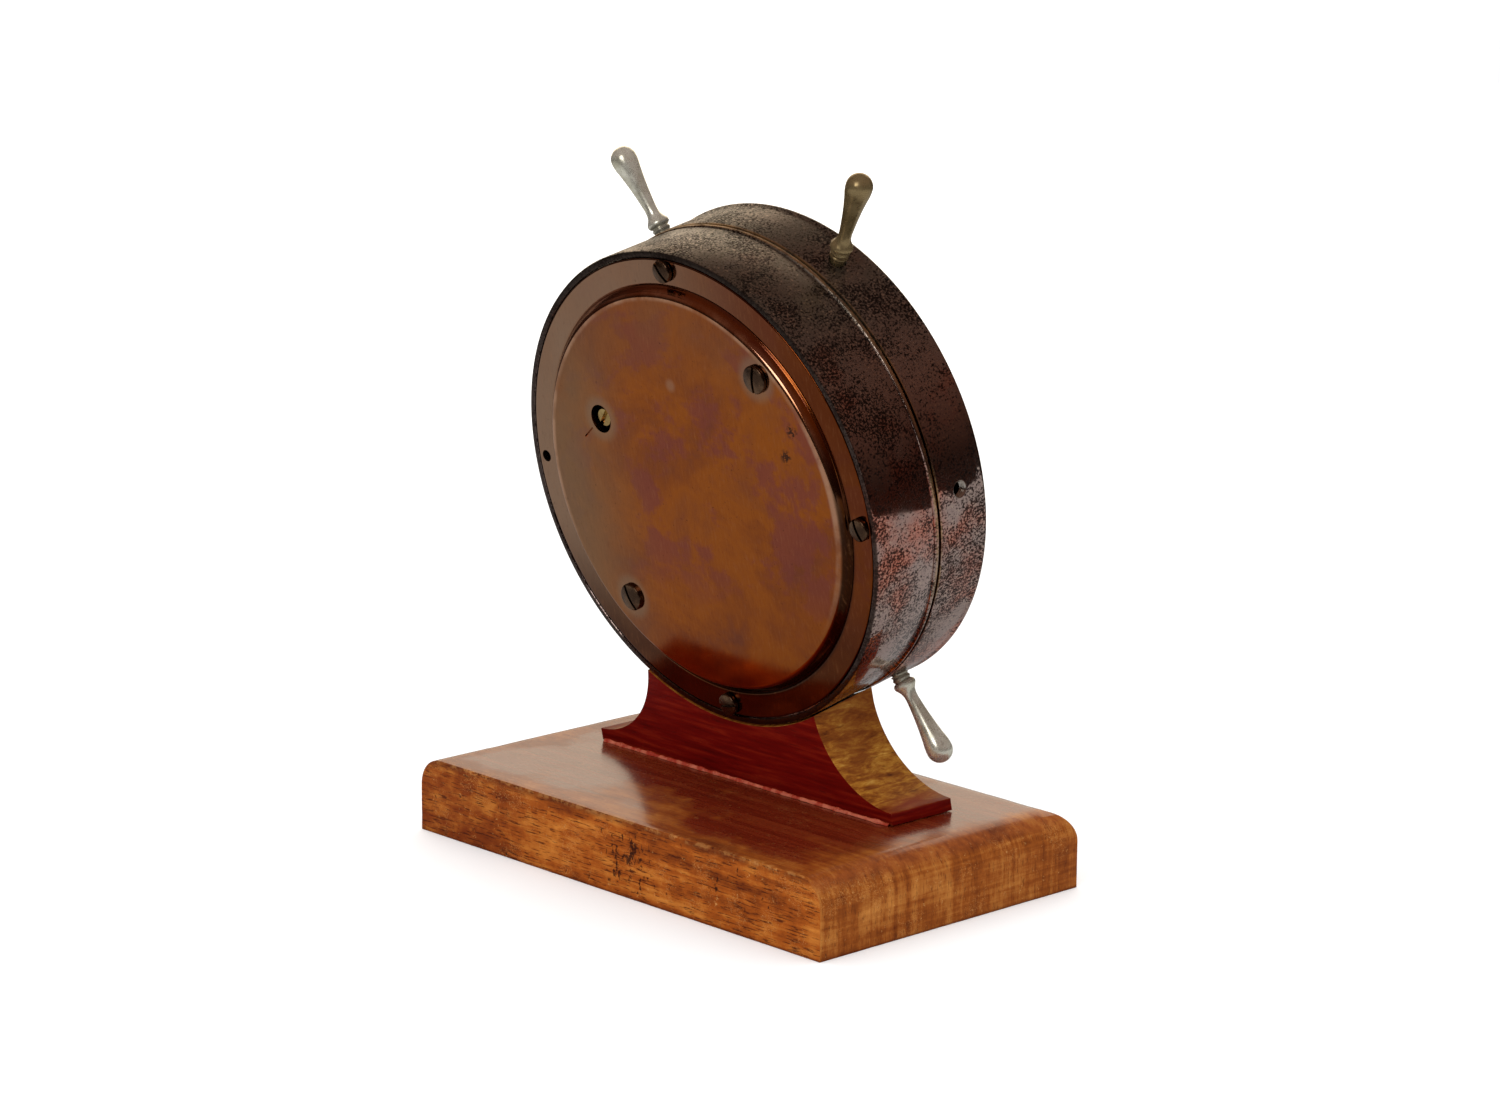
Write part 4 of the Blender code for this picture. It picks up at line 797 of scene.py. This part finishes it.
def base_board():
    """A board with rounded ends and front edge and a square back edge, worn along its edges."""
    half, deep, top = BASE_HALF[0], BASE_HALF[1], BASE_TOP
    shoulder = top - BASE_ROUND
    outline = [(-half, 0.0), (half, 0.0)]
    outline += arc((half - BASE_ROUND, shoulder), BASE_ROUND, 0, 90, 16)
    outline += arc((BASE_ROUND - half, shoulder), BASE_ROUND, 90, 180, 16)
    board = flat("base_board_wood", [outline], -deep, deep,
                 Matrix.Rotation(math.pi / 2, 4, "X"), angle=40)
    waste = arc((BASE_ROUND - deep, shoulder), BASE_ROUND, 90, 180, 16)
    waste += [(-deep - 1, shoulder), (-deep - 1, top + 1), (BASE_ROUND - deep, top + 1)]
    lengthwise = Matrix.Rotation(math.pi / 2, 4, "Z") @ Matrix.Rotation(math.pi / 2, 4, "X")
    boolean(board, [flat("waste", [waste], -half - 1, half + 1, lengthwise)], smooth_angle=40)
    soften(board, 0.7, 3, 60)
    sliced(board, (1.0, 0.0, 0.0), range(-68, 69, 4))
    sliced(board, (0.0, 1.0, 0.0), range(-36, 45, 4))
    sliced(board, (0.0, 0.0, 1.0), (4.0, 8.0))
    tools = []
    for side in (-1, 1):
        place = Matrix.Translation((side * 34.0 * MM, -10.5 * MM, 0.0))
        tools.append(rod("sink", 4.8, -1.0, 6.0, place, 48))
        tools.append(rod("hole", 2.3, -1.0, 22.0, place, 36))
    boolean(board, tools, smooth_angle=40)
    worn_edges(board, 0.12, 130.0)
    settle(board, "case", "mahogany", "base", "base_board")


def flank():
    """The hollow flank in (x, z): straight down to the tip, then an arc out to the toe."""
    tip, toe = Vector(CRADLE_TIP), Vector(CRADLE_TOE)
    chord = toe - tip
    sag = CRADLE_SAG * chord.length
    radius = (chord.length ** 2 / 4 + sag ** 2) / (2 * sag)
    across = Vector((-chord.y, chord.x)).normalized()
    centre = (tip + toe) / 2 + across * (radius - sag)
    start = math.degrees(math.atan2(tip.y - centre.y, tip.x - centre.x))
    end = math.degrees(math.atan2(toe.y - centre.y, toe.x - centre.x))
    if end < start:
        end += 360
    return arc(tuple(centre), radius, start, end, 28)


def cradle():
    """A level block whose back, front and round saddle lean with the drum."""
    sole = BASE_TOP + 0.3
    low, high = CRADLE_LEVELS
    right = [(CRADLE_TIP[0] - 0.3, CRADLE_TIP[1] + 8.0)] + flank() + [(CRADLE_TOE[0], sole)]
    outline = right + [(-x, z) for x, z in reversed(right)]
    body = flat("cradle_block", [outline], -20.0, 32.0, Matrix.Rotation(math.pi / 2, 4, "X"),
                angle=30)
    boolean(body, [block("behind", (-90, -110, -40), (90, 0, low), DRUM),
                   block("before", (-90, -110, high), (90, 0, 70), DRUM),
                   rod("saddle", SADDLE_R, -15, 45, DRUM, TURN_STEPS)], smooth_angle=30)
    sliced(body, (0.0, 0.0, 1.0), (27.0, 30.0, 33.0, 37.0, 41.0))
    soften(body, 0.5, 3, 40)
    settle(body, "case", "red_lacquer", "cradle", "cradle")
    glue_line(sole)


def glue_line(sole):
    """A squeezed-out line of lacquered glue along the back of the cradle's foot."""
    back_y = (DRUM_ORIGIN.y / MM - CRADLE_LEVELS[0] * math.cos(LEAN)
              - (DRUM_ORIGIN.z / MM - sole) * math.tan(LEAN))
    reach = CRADLE_TOE[0] - 1.0
    steps, sides = 140, 7
    work = bmesh.new()
    rings = []
    for i in range(steps + 1):
        x = -reach + 2 * reach * i / steps
        thick = 0.75 + 0.45 * noise.noise(Vector((x * 0.35, 0.0, 3.1)))
        ring = []
        for j in range(sides + 1):
            turn = math.pi * j / sides / 2
            ring.append(work.verts.new((x * MM, (back_y + thick * math.cos(turn)) * MM,
                                        (BASE_TOP + 0.05 + thick * math.sin(turn)) * MM)))
        rings.append(ring)
    for one, two in zip(rings, rings[1:]):
        for j in range(sides):
            work.faces.new((one[j], one[j + 1], two[j + 1], two[j]))
        work.faces.new((one[sides], one[0], two[0], two[sides]))
    work.faces.new(rings[0])
    work.faces.new(list(reversed(rings[-1])))
    line = add_object("cradle_glue_line", finish_mesh(work, "cradle_glue_line"))
    settle(line, "case", "red_lacquer", "glue")


# ---------------------------------------------------------------- case and cover

def rear_case():
    inner = CASE_R - CASE_WALL
    bead = arc((BEAD_R - 0.75, 21.25), 0.75, 70, -75, 8)
    profile = [(inner + 0.4, CASE_FRONT - 0.05), (CASE_R - 0.1, CASE_FRONT - 0.05)]
    profile += bead + [(CASE_R, 20.2), (CASE_R, 10.0), (CASE_R, 0.75), (CASE_R - 0.2, 0.3),
                       (CASE_R - 0.55, 0.2), (62.5, 0.2), (62.3, 0.4), (62.3, 1.8), (55.5, 1.8),
                       (55.5, 3.3), (inner, 3.3), (inner, CASE_FRONT - 0.4)]
    case = turned("rear_case_shell", profile, closed=True, angle=40)
    tools = [rod("bore", 1.5, 0.5, 5.0, at(*polar(90 * i, RIM_SCREW_CIRCLE))) for i in range(4)]
    tools += [rod("bore", 1.6, 58.0, 66.0, radial(angle, 12.0)) for angle in (258, 282)]
    boolean(case, tools, smooth_angle=40)
    settle(case, "case", "bronze", "bronze", "rear_case")


TICKS = (((27.5, 18.0), (23.0, 19.8), 0.32), ((34.8, 12.7), (38.4, 9.7), 0.5),
         ((31.1, 11.7), (31.2, 9.4), 0.3))


def back_cover():
    inside = COVER_FACE + 1.2
    shoulder = [(COVER_R - 0.5, COVER_FACE), (DISC_FOOT_R + 0.9, COVER_FACE),
                (DISC_FOOT_R + 0.45, COVER_FACE + 0.02), (DISC_FOOT_R + 0.25, COVER_FACE + 0.22),
                (DISC_FOOT_R + 0.05, COVER_FACE + 0.05)]
    shoulder += arc((DISC_FOOT_R + 0.15, COVER_FACE - 0.55), 0.5, 105, 170, 5)
    shoulder += arc((DISC_TOP_R - 0.2, DISC_FACE + 1.5), 1.5, 340, 270, 12)
    profile = [(0.0, DISC_FACE + 1.2), (DISC_TOP_R - 0.9, DISC_FACE + 1.2),
               (DISC_FOOT_R - 1.1, inside), (COVER_R, inside), (COVER_R, COVER_FACE + 0.15),
               (COVER_R - 0.15, COVER_FACE)]
    profile += shoulder
    profile += [(radius, DISC_FACE - DISC_CROWN * (1 - (radius / DISC_TOP_R) ** 2))
                for radius in (51.0, 49.0, 46.0, 42.0, 36.0, 28.0, 20.0, 10.0, 0.0)]
    cover = turned("back_cover_plate", profile, angle=60)
    tools = [rod("bore", 1.6, -4.0, 3.0, at(*polar(90 * i, RIM_SCREW_CIRCLE))) for i in range(4)]
    tools += [rod("bore", 2.1, -4.0, 2.0, at(*place)) for place in MOVEMENT_SCREWS.values()]
    tools.append(rod("regulator", REGULATOR_HOLE_R, -4.0, 2.0, at(*REGULATOR), 64))
    boolean(cover, tools, smooth_angle=60)

    # Three short adjusting ticks cut beside the regulator's hole
    ticks = []
    for start, end, width in TICKS:
        along = Vector(end) - Vector(start)
        turn = Matrix.Rotation(math.atan2(along.y, along.x), 4, "Z")
        ticks.append(block("tick", (0.0, -width / 2, DISC_FACE - 0.5),
                           (along.length, width / 2, DISC_FACE + 0.18), at(*start) @ turn))
    boolean(cover, ticks, smooth_angle=60)
    settle(cover, "case", "copper", "copper", "back_cover")


def slotted_screw(name, place, head_r, top, foot, shank_r, end, slot_angle, dome):
    """A screw whose domed head faces the back; its slot is cut at the given angle."""
    crown = [(0.0, top)] + [(head_r * 0.86 * i / 6, top + dome * (i / 6) ** 2) for i in range(1, 7)]
    edge = arc((head_r - 0.42, top + dome + 0.42), 0.42, 285, 360, 5)
    profile = crown + edge + [(head_r, foot), (shank_r, foot), (shank_r, end - 0.5),
                              (shank_r - 0.4, end), (0.0, end)]
    screw = turned(name, list(reversed(profile)), 64, matrix=at(*place), angle=38)
    turn = Matrix.Rotation(math.radians(slot_angle), 4, "Z")
    slot = block("slot", (-head_r - 1, -0.42, top - 1), (head_r + 1, 0.42, top + 1.05),
                 at(*place) @ turn)
    boolean(screw, [slot], smooth_angle=38)
    return screw


def cover_screws():
    rows = (("cover_screw_top", 90, -128), ("cover_screw_side", 180, -112),
            ("cover_screw_bottom", 270, 170))
    for node, angle, slot_angle in rows:
        screw = slotted_screw(node + "_turned", polar(angle, RIM_SCREW_CIRCLE), 3.0, -1.6, -0.05,
                              1.3, 4.9, slot_angle, 0.35)
        settle(screw, "case", "dark_steel", "screw", node)
    for (node, place), slot_angle in zip(MOVEMENT_SCREWS.items(), (-83, -116)):
        screw = slotted_screw(node + "_turned", place, 3.7, -3.7, -2.3, 1.65, 6.5,
                              slot_angle, 0.4)
        settle(screw, "case", "dark_steel", "screw", node)


def regulator_screw():
    """Slotted brass head, the cam that works the index, and its pivot, sunk in the cover's hole."""
    profile = [(0.0, 1.4), (2.45, 1.4), (2.5, 1.2), (2.5, -1.0), (2.3, -1.35), (0.0, -1.4)]
    screw = turned("regulator_screw_turned", profile, 56, matrix=at(*REGULATOR), angle=38)
    outwards = (Vector(REGULATOR) - Vector(BALANCE)).normalized() * REGULATOR_THROW
    cam = rod("regulator_cam", REGULATOR_CAM_R, 1.2, 3.28, at(*(Vector(REGULATOR) + outwards)), 40)
    pivot = rod("regulator_pivot", REGULATOR_PIVOT_R, 3.1, 7.9, at(*REGULATOR), 40)
    boolean(screw, [cam, pivot], operation="UNION", smooth_angle=38)
    slot = block("slot", (-4, -0.6, -3.0), (4, 0.6, -0.35),
                 at(*REGULATOR) @ Matrix.Rotation(math.radians(-55), 4, "Z"))
    boolean(screw, [slot], smooth_angle=38)
    settle(screw, "regulator_screw_group", "brass", "brass", "regulator_screw")


# ---------------------------------------------------------------- bezel, glass and spokes

def front_bezel():
    inner = BEZEL_R - 2.2
    lip_r = 0.95
    lip = arc((BEZEL_LIP_R - lip_r, BEZEL_FRONT - lip_r - 0.05), lip_r, 90, -20, 8)
    profile = [(53.6, BEZEL_FRONT - 0.02), (62.9, BEZEL_FRONT)] + lip
    profile += [(BEZEL_R + 0.1, BEZEL_FRONT - 2.0), (BEZEL_R, BEZEL_FRONT - 2.8),
                (BEZEL_R, 23.0), (BEZEL_R - 0.2, 22.4), (inner, 22.4), (inner, 35.4),
                (58.3, 35.4), (58.3, 32.4), (56.5, 32.4), (56.5, 36.0), (51.5, 36.0),
                (51.5, 36.6)]
    bezel = turned("front_bezel_ring", profile, closed=True, angle=38)
    bores = [rod("bore", 2.35, 60.0, 67.0, radial(angle + SPOKE_TURN, SPOKE_PLANE))
             for angle in list(SPOKE_ANGLES.values()) + [EMPTY_SPOKE_ANGLE]]
    boolean(bezel, bores, smooth_angle=38)
    settle(bezel, "bezel", "bronze", "bronze", "front_bezel")

    # The empty spoke hole shows its thread: a bush with sharp inner rings
    thread = [(2.33, 62.1), (2.33, 64.45), (2.2, 64.5)]
    pitch, crest, root = 0.5, 1.8, 2.15
    level = 64.4
    while level > 62.6:
        thread += [(crest, level - pitch / 2), (root, level - pitch)]
        level -= pitch
    bush = turned("spoke_thread_bush", list(reversed(thread)), 40, closed=True,
                  matrix=radial(EMPTY_SPOKE_ANGLE + SPOKE_TURN, SPOKE_PLANE), angle=25)
    settle(bush, "bezel", "bronze", "thread")


def glass_and_ring():
    profile = [(0.0, 35.7)] + [(r, 35.7) for r in (20.0, 40.0, 55.0)]
    profile += arc((55.4, 35.2), 0.5, 80, 0, 4) + [(55.9, 34.4), (55.7, 34.2), (0.0, 34.2)]
    glass = turned("glass_crystal", profile, angle=50)
    settle(glass, "bezel", "glass", "glass", "glass")
    ring = rounded_loop([(56.2, 33.9), (56.2, 32.6), (52.3, 32.6), (51.7, 33.2), (51.7, 33.9)], 0.2)
    holder = turned("glass_ring_turned", ring, closed=True, angle=35)
    notches = [block("notch", (50.5, -1.2, 32.0), (53.6, 1.2, 33.1),
                     DRUM @ Matrix.Rotation(math.radians(90 * i + 45), 4, "Z")) for i in range(4)]
    boolean(holder, notches, smooth_angle=35)
    settle(holder, "bezel", "brass", "brass", "glass_ring")


def spoke_profile():
    """From the club end down past the flared skirt, one ring and a small foot to the stud."""
    tip, foot, club = SPOKE_TIP, SPOKE_FOOT, 3.45
    outline = arc((0.0, tip - club - 0.02), club, 90, 6, 14)
    outline += [(3.43, tip - 4.3), (3.28, tip - 5.6), (2.98, tip - 7.0), (2.5, tip - 10.0),
                (2.12, tip - 13.0), (1.83, tip - 16.0), (1.66, tip - 18.3), (1.72, tip - 19.6),
                (2.0, tip - 20.6), (2.48, tip - 21.4), (2.9, tip - 22.0), (3.0, tip - 22.5),
                (2.92, tip - 23.0), (2.6, tip - 23.35), (2.15, tip - 23.6), (2.2, tip - 23.85),
                (2.42, tip - 24.1), (2.45, tip - 24.35), (2.25, tip - 24.75), (2.1, tip - 25.0),
                (2.4, tip - 25.2), (2.45, foot)]
    stud = [(2.0, foot), (2.0, foot - 2.3), (1.7, foot - 2.6), (0.0, foot - 2.6)]
    return outline + stud


def spokes():
    profile = spoke_profile()
    for node, angle in SPOKE_ANGLES.items():
        lift = Matrix.Translation((0.0, 0.0, SPOKE_LIFT.get(node, 0.0) * MM))
        place = radial(angle + SPOKE_TURN, SPOKE_PLANE) @ lift
        spoke = in_world_frame(turned(node + "_handle", profile, 56, matrix=place, angle=50))
        material = "tarnished" if node in SPOKE_LIFT else "nickel"
        settle(spoke, "bezel", "nickel", material, node)


# ---------------------------------------------------------------- hinge

def hinge():
    """Two leaves on an upright pin at the drum's right side; x of this frame runs up the pin."""
    place = DRUM @ Matrix.Translation((HINGE[0] * MM, 0.0, HINGE[1] * MM))
    leaf_frame = place @ Matrix.Rotation(math.pi / 2, 4, "Z") @ Matrix.Rotation(math.pi / 2, 4, "X")
    along = leaf_frame @ Matrix.Rotation(math.pi / 2, 4, "Y")
    case_plate = arc((-7.8, -8.4), 1.2, 180, 270, 5) + arc((7.8, -8.4), 1.2, 270, 360, 5)
    case_plate += [(9.0, 0.0), (3.2, 0.0), (3.2, -2.4), (-3.2, -2.4), (-3.2, 0.0), (-9.0, 0.0)]
    bezel_plate = [(-2.9, 0.0), (2.9, 0.0)] + arc((2.1, 2.2), 0.8, 0, 90, 4)
    bezel_plate += arc((-2.1, 2.2), 0.8, 90, 180, 4)
    rows = (("case", "hinge_leaf_case", case_plate, (-2.55, -1.45), ((-9.0, -3.2), (3.2, 9.0))),
            ("bezel", "hinge_leaf_bezel", bezel_plate, (-2.05, -1.0), ((-2.9, 2.9),)))
    for body, node, plate, (inner, outer), knuckles in rows:
        leaf = flat(node + "_plate", [plate], inner, outer, leaf_frame)
        tubes = [rod("knuckle", 1.98, low, high, along, 48) for low, high in knuckles]
        boolean(leaf, tubes, "UNION")
        boolean(leaf, [rod("pin_bore", 1.12, -12, 12, along, 40)])
        soften(leaf, 0.16, 2, 40)
        settle(leaf, body, "bronze", "bronze", node)
    pin = [(0.0, 10.2), (0.8, 10.12), (1.3, 9.85), (1.5, 9.45), (1.4, 9.32), (0.9, 9.3)]
    pin += [(r, -z) for r, z in reversed(pin)]
    upright = place @ Matrix.Rotation(-math.pi / 2, 4, "X")
    rivet = turned("hinge_pin_turned", pin, 40, matrix=upright, angle=35)
    settle(rivet, "case", "brass", "brass", "hinge_pin")


# ---------------------------------------------------------------- dial and hands

def bar_outline(inner, outer, width, angle):
    """A radial bar as an outline; the angle is clockwise from twelve."""
    turn = math.radians(90 - angle)
    along = Vector((math.cos(turn), math.sin(turn)))
    across = Vector((-along.y, along.x)) * width / 2
    corners = (along * inner - across, along * outer - across, along * outer + across,
               along * inner + across)
    return [tuple(corner) for corner in corners]


def printed(name, outlines, place=DRUM, level=DIAL_FACE):
    mark = flat(name, outlines, level, level + 0.05, place)
    settle(mark, "case", "black_paint", "black")
    return mark


def numeral(text, size, place):
    """A numeral as a thin raised print, upright on the dial, centred on its place."""
    curve = bpy.data.curves.new("numeral", "FONT")
    curve.body = text
    curve.size = size * MM
    curve.align_x = "CENTER"
    curve.align_y = "CENTER"
    curve.extrude = 0.03 * MM
    curve.offset = 0.012 * size * MM
    curve.resolution_u = 6
    holder = add_object("numeral", curve)
    graph = bpy.context.evaluated_depsgraph_get()
    mesh = bpy.data.meshes.new_from_object(holder.evaluated_get(graph))
    bpy.data.objects.remove(holder, do_unlink=True)
    xs = [v.co.x for v in mesh.vertices]
    ys = [v.co.y for v in mesh.vertices]
    middle = Vector(((min(xs) + max(xs)) / 2, (min(ys) + max(ys)) / 2, 0.0))
    mesh.transform(Matrix.Translation(-middle))
    return add_object("numeral", mesh, at(place[0], place[1], DIAL_FACE + 0.03))


def dial():
    rim = 56.9
    outline = [circle(rim, count=TURN_STEPS), circle(3.2, count=48), circle(1.4, SECONDS_CENTRE, 32),
               circle(3.0, WINDING_HOLE, 48)]
    disc = flat("dial_plate", outline, 28.6, DIAL_FACE, bevel=0.08)
    feet = [rod("foot", 1.0, 22.8, 28.9, at(*polar(angle, 48.0)), 24) for angle in (90, 195, 345)]
    boolean(disc, feet, "UNION")
    settle(disc, "case", "dial_white", "dial", "dial")

    track = []
    for minute in range(60):
        major = minute % 5 == 0
        track.append(bar_outline(45.4 if major else 46.9, 49.2, 1.1 if major else 0.45, minute * 6))
    printed("dial_minute_marks", track)
    printed("dial_minute_ring", [circle(50.0, count=TURN_STEPS), circle(49.65, count=TURN_STEPS)])

    numerals = []
    for hour in range(1, 13):
        circle_r = 38.6 if hour == 6 else 38.0
        numerals.append(numeral(str(hour), 10.5, polar(90 - hour * 30, circle_r)))
    print_mesh = join("dial_numerals", numerals)
    settle(print_mesh, "case", "black_paint", "black")

    seconds_place = at(*SECONDS_CENTRE)
    ticks = []
    for second in range(0, 60, 5):
        major = second % 15 == 0
        ticks.append(bar_outline(7.4 if major else 8.2, 9.4, 0.5 if major else 0.3, second * 6))
    printed("dial_seconds_marks", ticks, seconds_place)
    printed("dial_seconds_ring", [circle(9.95, count=96), circle(9.7, count=96)], seconds_place)
    collar = rounded_loop([(3.7, 29.75), (3.7, 28.5), (3.05, 28.5), (3.05, 29.75)], 0.15)
    settle(turned("winding_collet", collar, 64, True, at(*WINDING_HOLE)), "case", "brass", "brass")


def spade(hub, length, tail, width):
    """A spade hand pointing to twelve, with a round hub and a short tail."""
    stem = width * 0.26
    heart = length * 0.70
    side = [(stem, hub * 0.94), (stem * 0.8, heart - width * 1.15)]
    side += arc((width * 0.42, heart), width * 0.58, -105, 60, 9)
    side += [(width * 0.34, heart + width * 1.15), (stem * 0.55, heart + width * 2.1)]
    side.append((stem * 0.3, length - 0.6))
    mirrored = [(-x, y) for x, y in reversed(side)]
    lean = math.degrees(math.asin(stem / hub))
    left = arc((0.0, 0.0), hub, 90 + lean, 270 - lean, 14)
    right = arc((0.0, 0.0), hub, -90 + lean, 90 - lean, 14)
    back = [(-stem * 1.3, -tail * 0.7), (-stem * 1.9, -tail), (stem * 1.9, -tail),
            (stem * 1.3, -tail * 0.7)]
    return side[1:] + [(0.0, length)] + mirrored[:-1] + left + back + right


def hands():
    rows = (("hour_hand", "hour_group", spade(4.2, 31.0, 8.0, 4.6), 2.7, 31.0, 31.4, (0.0, 0.0)),
            ("minute_hand", "minute_group", spade(3.6, 44.0, 10.0, 3.4), 1.85, 31.9, 32.3,
             (0.0, 0.0)),
            ("seconds_hand", "fourth_group", spade(1.7, 9.0, 3.6, 0.9), 0.75, 29.9, 30.2,
             SECONDS_CENTRE))
    for node, body, outline, bore, low, high, centre in rows:
        hand = flat(node + "_spade", [outline, circle(bore, count=32)], low, high, at(*centre),
                    bevel=0.05)
        settle(hand, body, "black_paint", "black", node)
    nut = [(1.2, 33.4), (2.1, 33.4)] + arc((2.1, 32.9), 0.5, 90, 0, 5) + [(2.6, 32.5), (1.2, 32.5)]
    settle(turned("hand_nut_turned", list(reversed(nut)), 48, True), "minute_group", "brass",
           "brass", "hand_nut")


# ---------------------------------------------------------------- CAD nodes that keep their shape

def dress_frame():
    """Better finishes for the CAD pieces that stay as they are."""
    finishes = {"brass": "plate_brass", "steel": "steel", "blued_steel": "blued",
                "dark_steel": "screw"}
    slots = {row["node"]: row["material_slot"] for row in frame["record"]["subparts"]}
    for node, thing in frame["nodes"].items():
        finish = finishes.get(slots[node])
        if finish:
            thing.data.materials.clear()
            thing.data.materials.append(MATERIALS[finish])


# ---------------------------------------------------------------- stage

CAMERA_PLACE = Vector((-0.7996, 0.7514, 0.3341))
CAMERA_FORWARD = Vector((0.70926, -0.66825, -0.22448))
CAMERA_RIGHT = Vector((-0.68461, -0.72888, 0.00672))
CAMERA_LENS = 104.6
CLOCK_MIDDLE = Vector((0.0, 0.0, 0.09))
WARM = (1.0, 0.86, 0.66)
SKY_LIGHT = 0.85
OVERHEAD_LIGHT = 1.15
ROOM_LOW = (0.028, 0.015, 0.011)
ROOM_HIGH = (0.12, 0.06, 0.042)


def camera():
    forward = CAMERA_FORWARD.normalized()
    right = (CAMERA_RIGHT - forward * CAMERA_RIGHT.dot(forward)).normalized()
    up = right.cross(forward)
    data = bpy.data.cameras.new("camera")
    data.lens = CAMERA_LENS
    data.sensor_width = 36.0
    thing = add_object("camera", data)
    rotation = Matrix((right, up, -forward)).transposed()
    thing.matrix_world = Matrix.Translation(CAMERA_PLACE) @ rotation.to_4x4()
    bpy.context.scene.camera = thing


def floor():
    """A pale floor; in the polish of the metal a greyer disc takes its place."""
    wide = flat("floor_pale", [circle(9000.0, count=96)], -4.0, -0.05, Matrix())
    wide.visible_glossy = False
    grey = flat("floor_in_reflections", [circle(600.0, count=96)], -4.0, 0.0, Matrix())
    grey.visible_camera = False
    grey.visible_diffuse = False
    grey.visible_shadow = False
    for thing, tone in ((wide, 0.97), (grey, 0.30)):
        thing.data.materials.clear()
        thing.data.materials.append(floor_paint(thing.name, tone))


def soft_box(name, direction, distance, size, radiance, colour=(1.0, 1.0, 1.0)):
    data = bpy.data.lights.new(name, "AREA")
    data.shape = "RECTANGLE"
    data.size, data.size_y = size
    data.energy = radiance * math.pi * size[0] * size[1]
    data.color = colour
    thing = add_object(name, data)
    away = Vector(direction).normalized()
    thing.location = CLOCK_MIDDLE + away * distance
    thing.rotation_euler = away.to_track_quat("Z", "Y").to_euler()
    thing.visible_camera = False


def overhead():
    """A very wide, even light from above that leaves no shine of its own."""
    data = bpy.data.lights.new("over", "SUN")
    data.energy = OVERHEAD_LIGHT
    data.angle = math.radians(110)
    thing = add_object("over", data)
    thing.visible_glossy = False


def world():
    """Pale to the eye and as soft light; in reflections a dim warm room, darkest near the floor."""
    made = bpy.data.worlds.new("studio")
    bpy.context.scene.world = made
    made.use_nodes = True
    tree = made.node_tree
    link = tree.links.new

    def node(kind):
        return tree.nodes.new("ShaderNode" + kind)

    def white(strength):
        background = node("Background")
        background.inputs["Color"].default_value = (1.0, 1.0, 1.0, 1.0)
        background.inputs["Strength"].default_value = strength
        return background.outputs[0]

    def choose(ray, otherwise, chosen):
        mixer = node("MixShader")
        for socket, value in zip(mixer.inputs, (path.outputs[ray], otherwise, chosen)):
            link(value, socket)
        return mixer.outputs[0]

    path = node("LightPath")
    parts = node("SeparateXYZ")
    height = node("MapRange")
    height.inputs["From Max"].default_value = 0.5
    tone = node("Mix")
    tone.data_type = "RGBA"
    tone.inputs[6].default_value = (*ROOM_LOW, 1.0)
    tone.inputs[7].default_value = (*ROOM_HIGH, 1.0)
    room = tree.nodes["Background"]
    link(node("TexCoord").outputs["Generated"], parts.inputs["Vector"])
    link(parts.outputs["Z"], height.inputs["Value"])
    link(height.outputs["Result"], tone.inputs["Factor"])
    link(tone.outputs[2], room.inputs["Color"])
    light = choose("Is Camera Ray", white(SKY_LIGHT), white(1.0))
    light = choose("Is Glossy Ray", light, room.outputs[0])
    link(light, tree.nodes["World Output"].inputs["Surface"])


def build():
    camera()
    floor()
    world()
    overhead()
    soft_box("key", (-0.3, 0.83, 0.47), 1.2, (0.5, 0.5), 3.5)
    soft_box("backdrop", (CAMERA_FORWARD.x, CAMERA_FORWARD.y, 0.36), 1.6, (1.8, 1.25), 1.3, WARM)
    bpy.context.scene.view_settings.view_transform = "Standard"
    dress_frame()
    base_board()
    cradle()
    rear_case()
    back_cover()
    cover_screws()
    regulator_screw()
    front_bezel()
    glass_and_ring()
    spokes()
    hinge()
    dial()
    hands()


build()
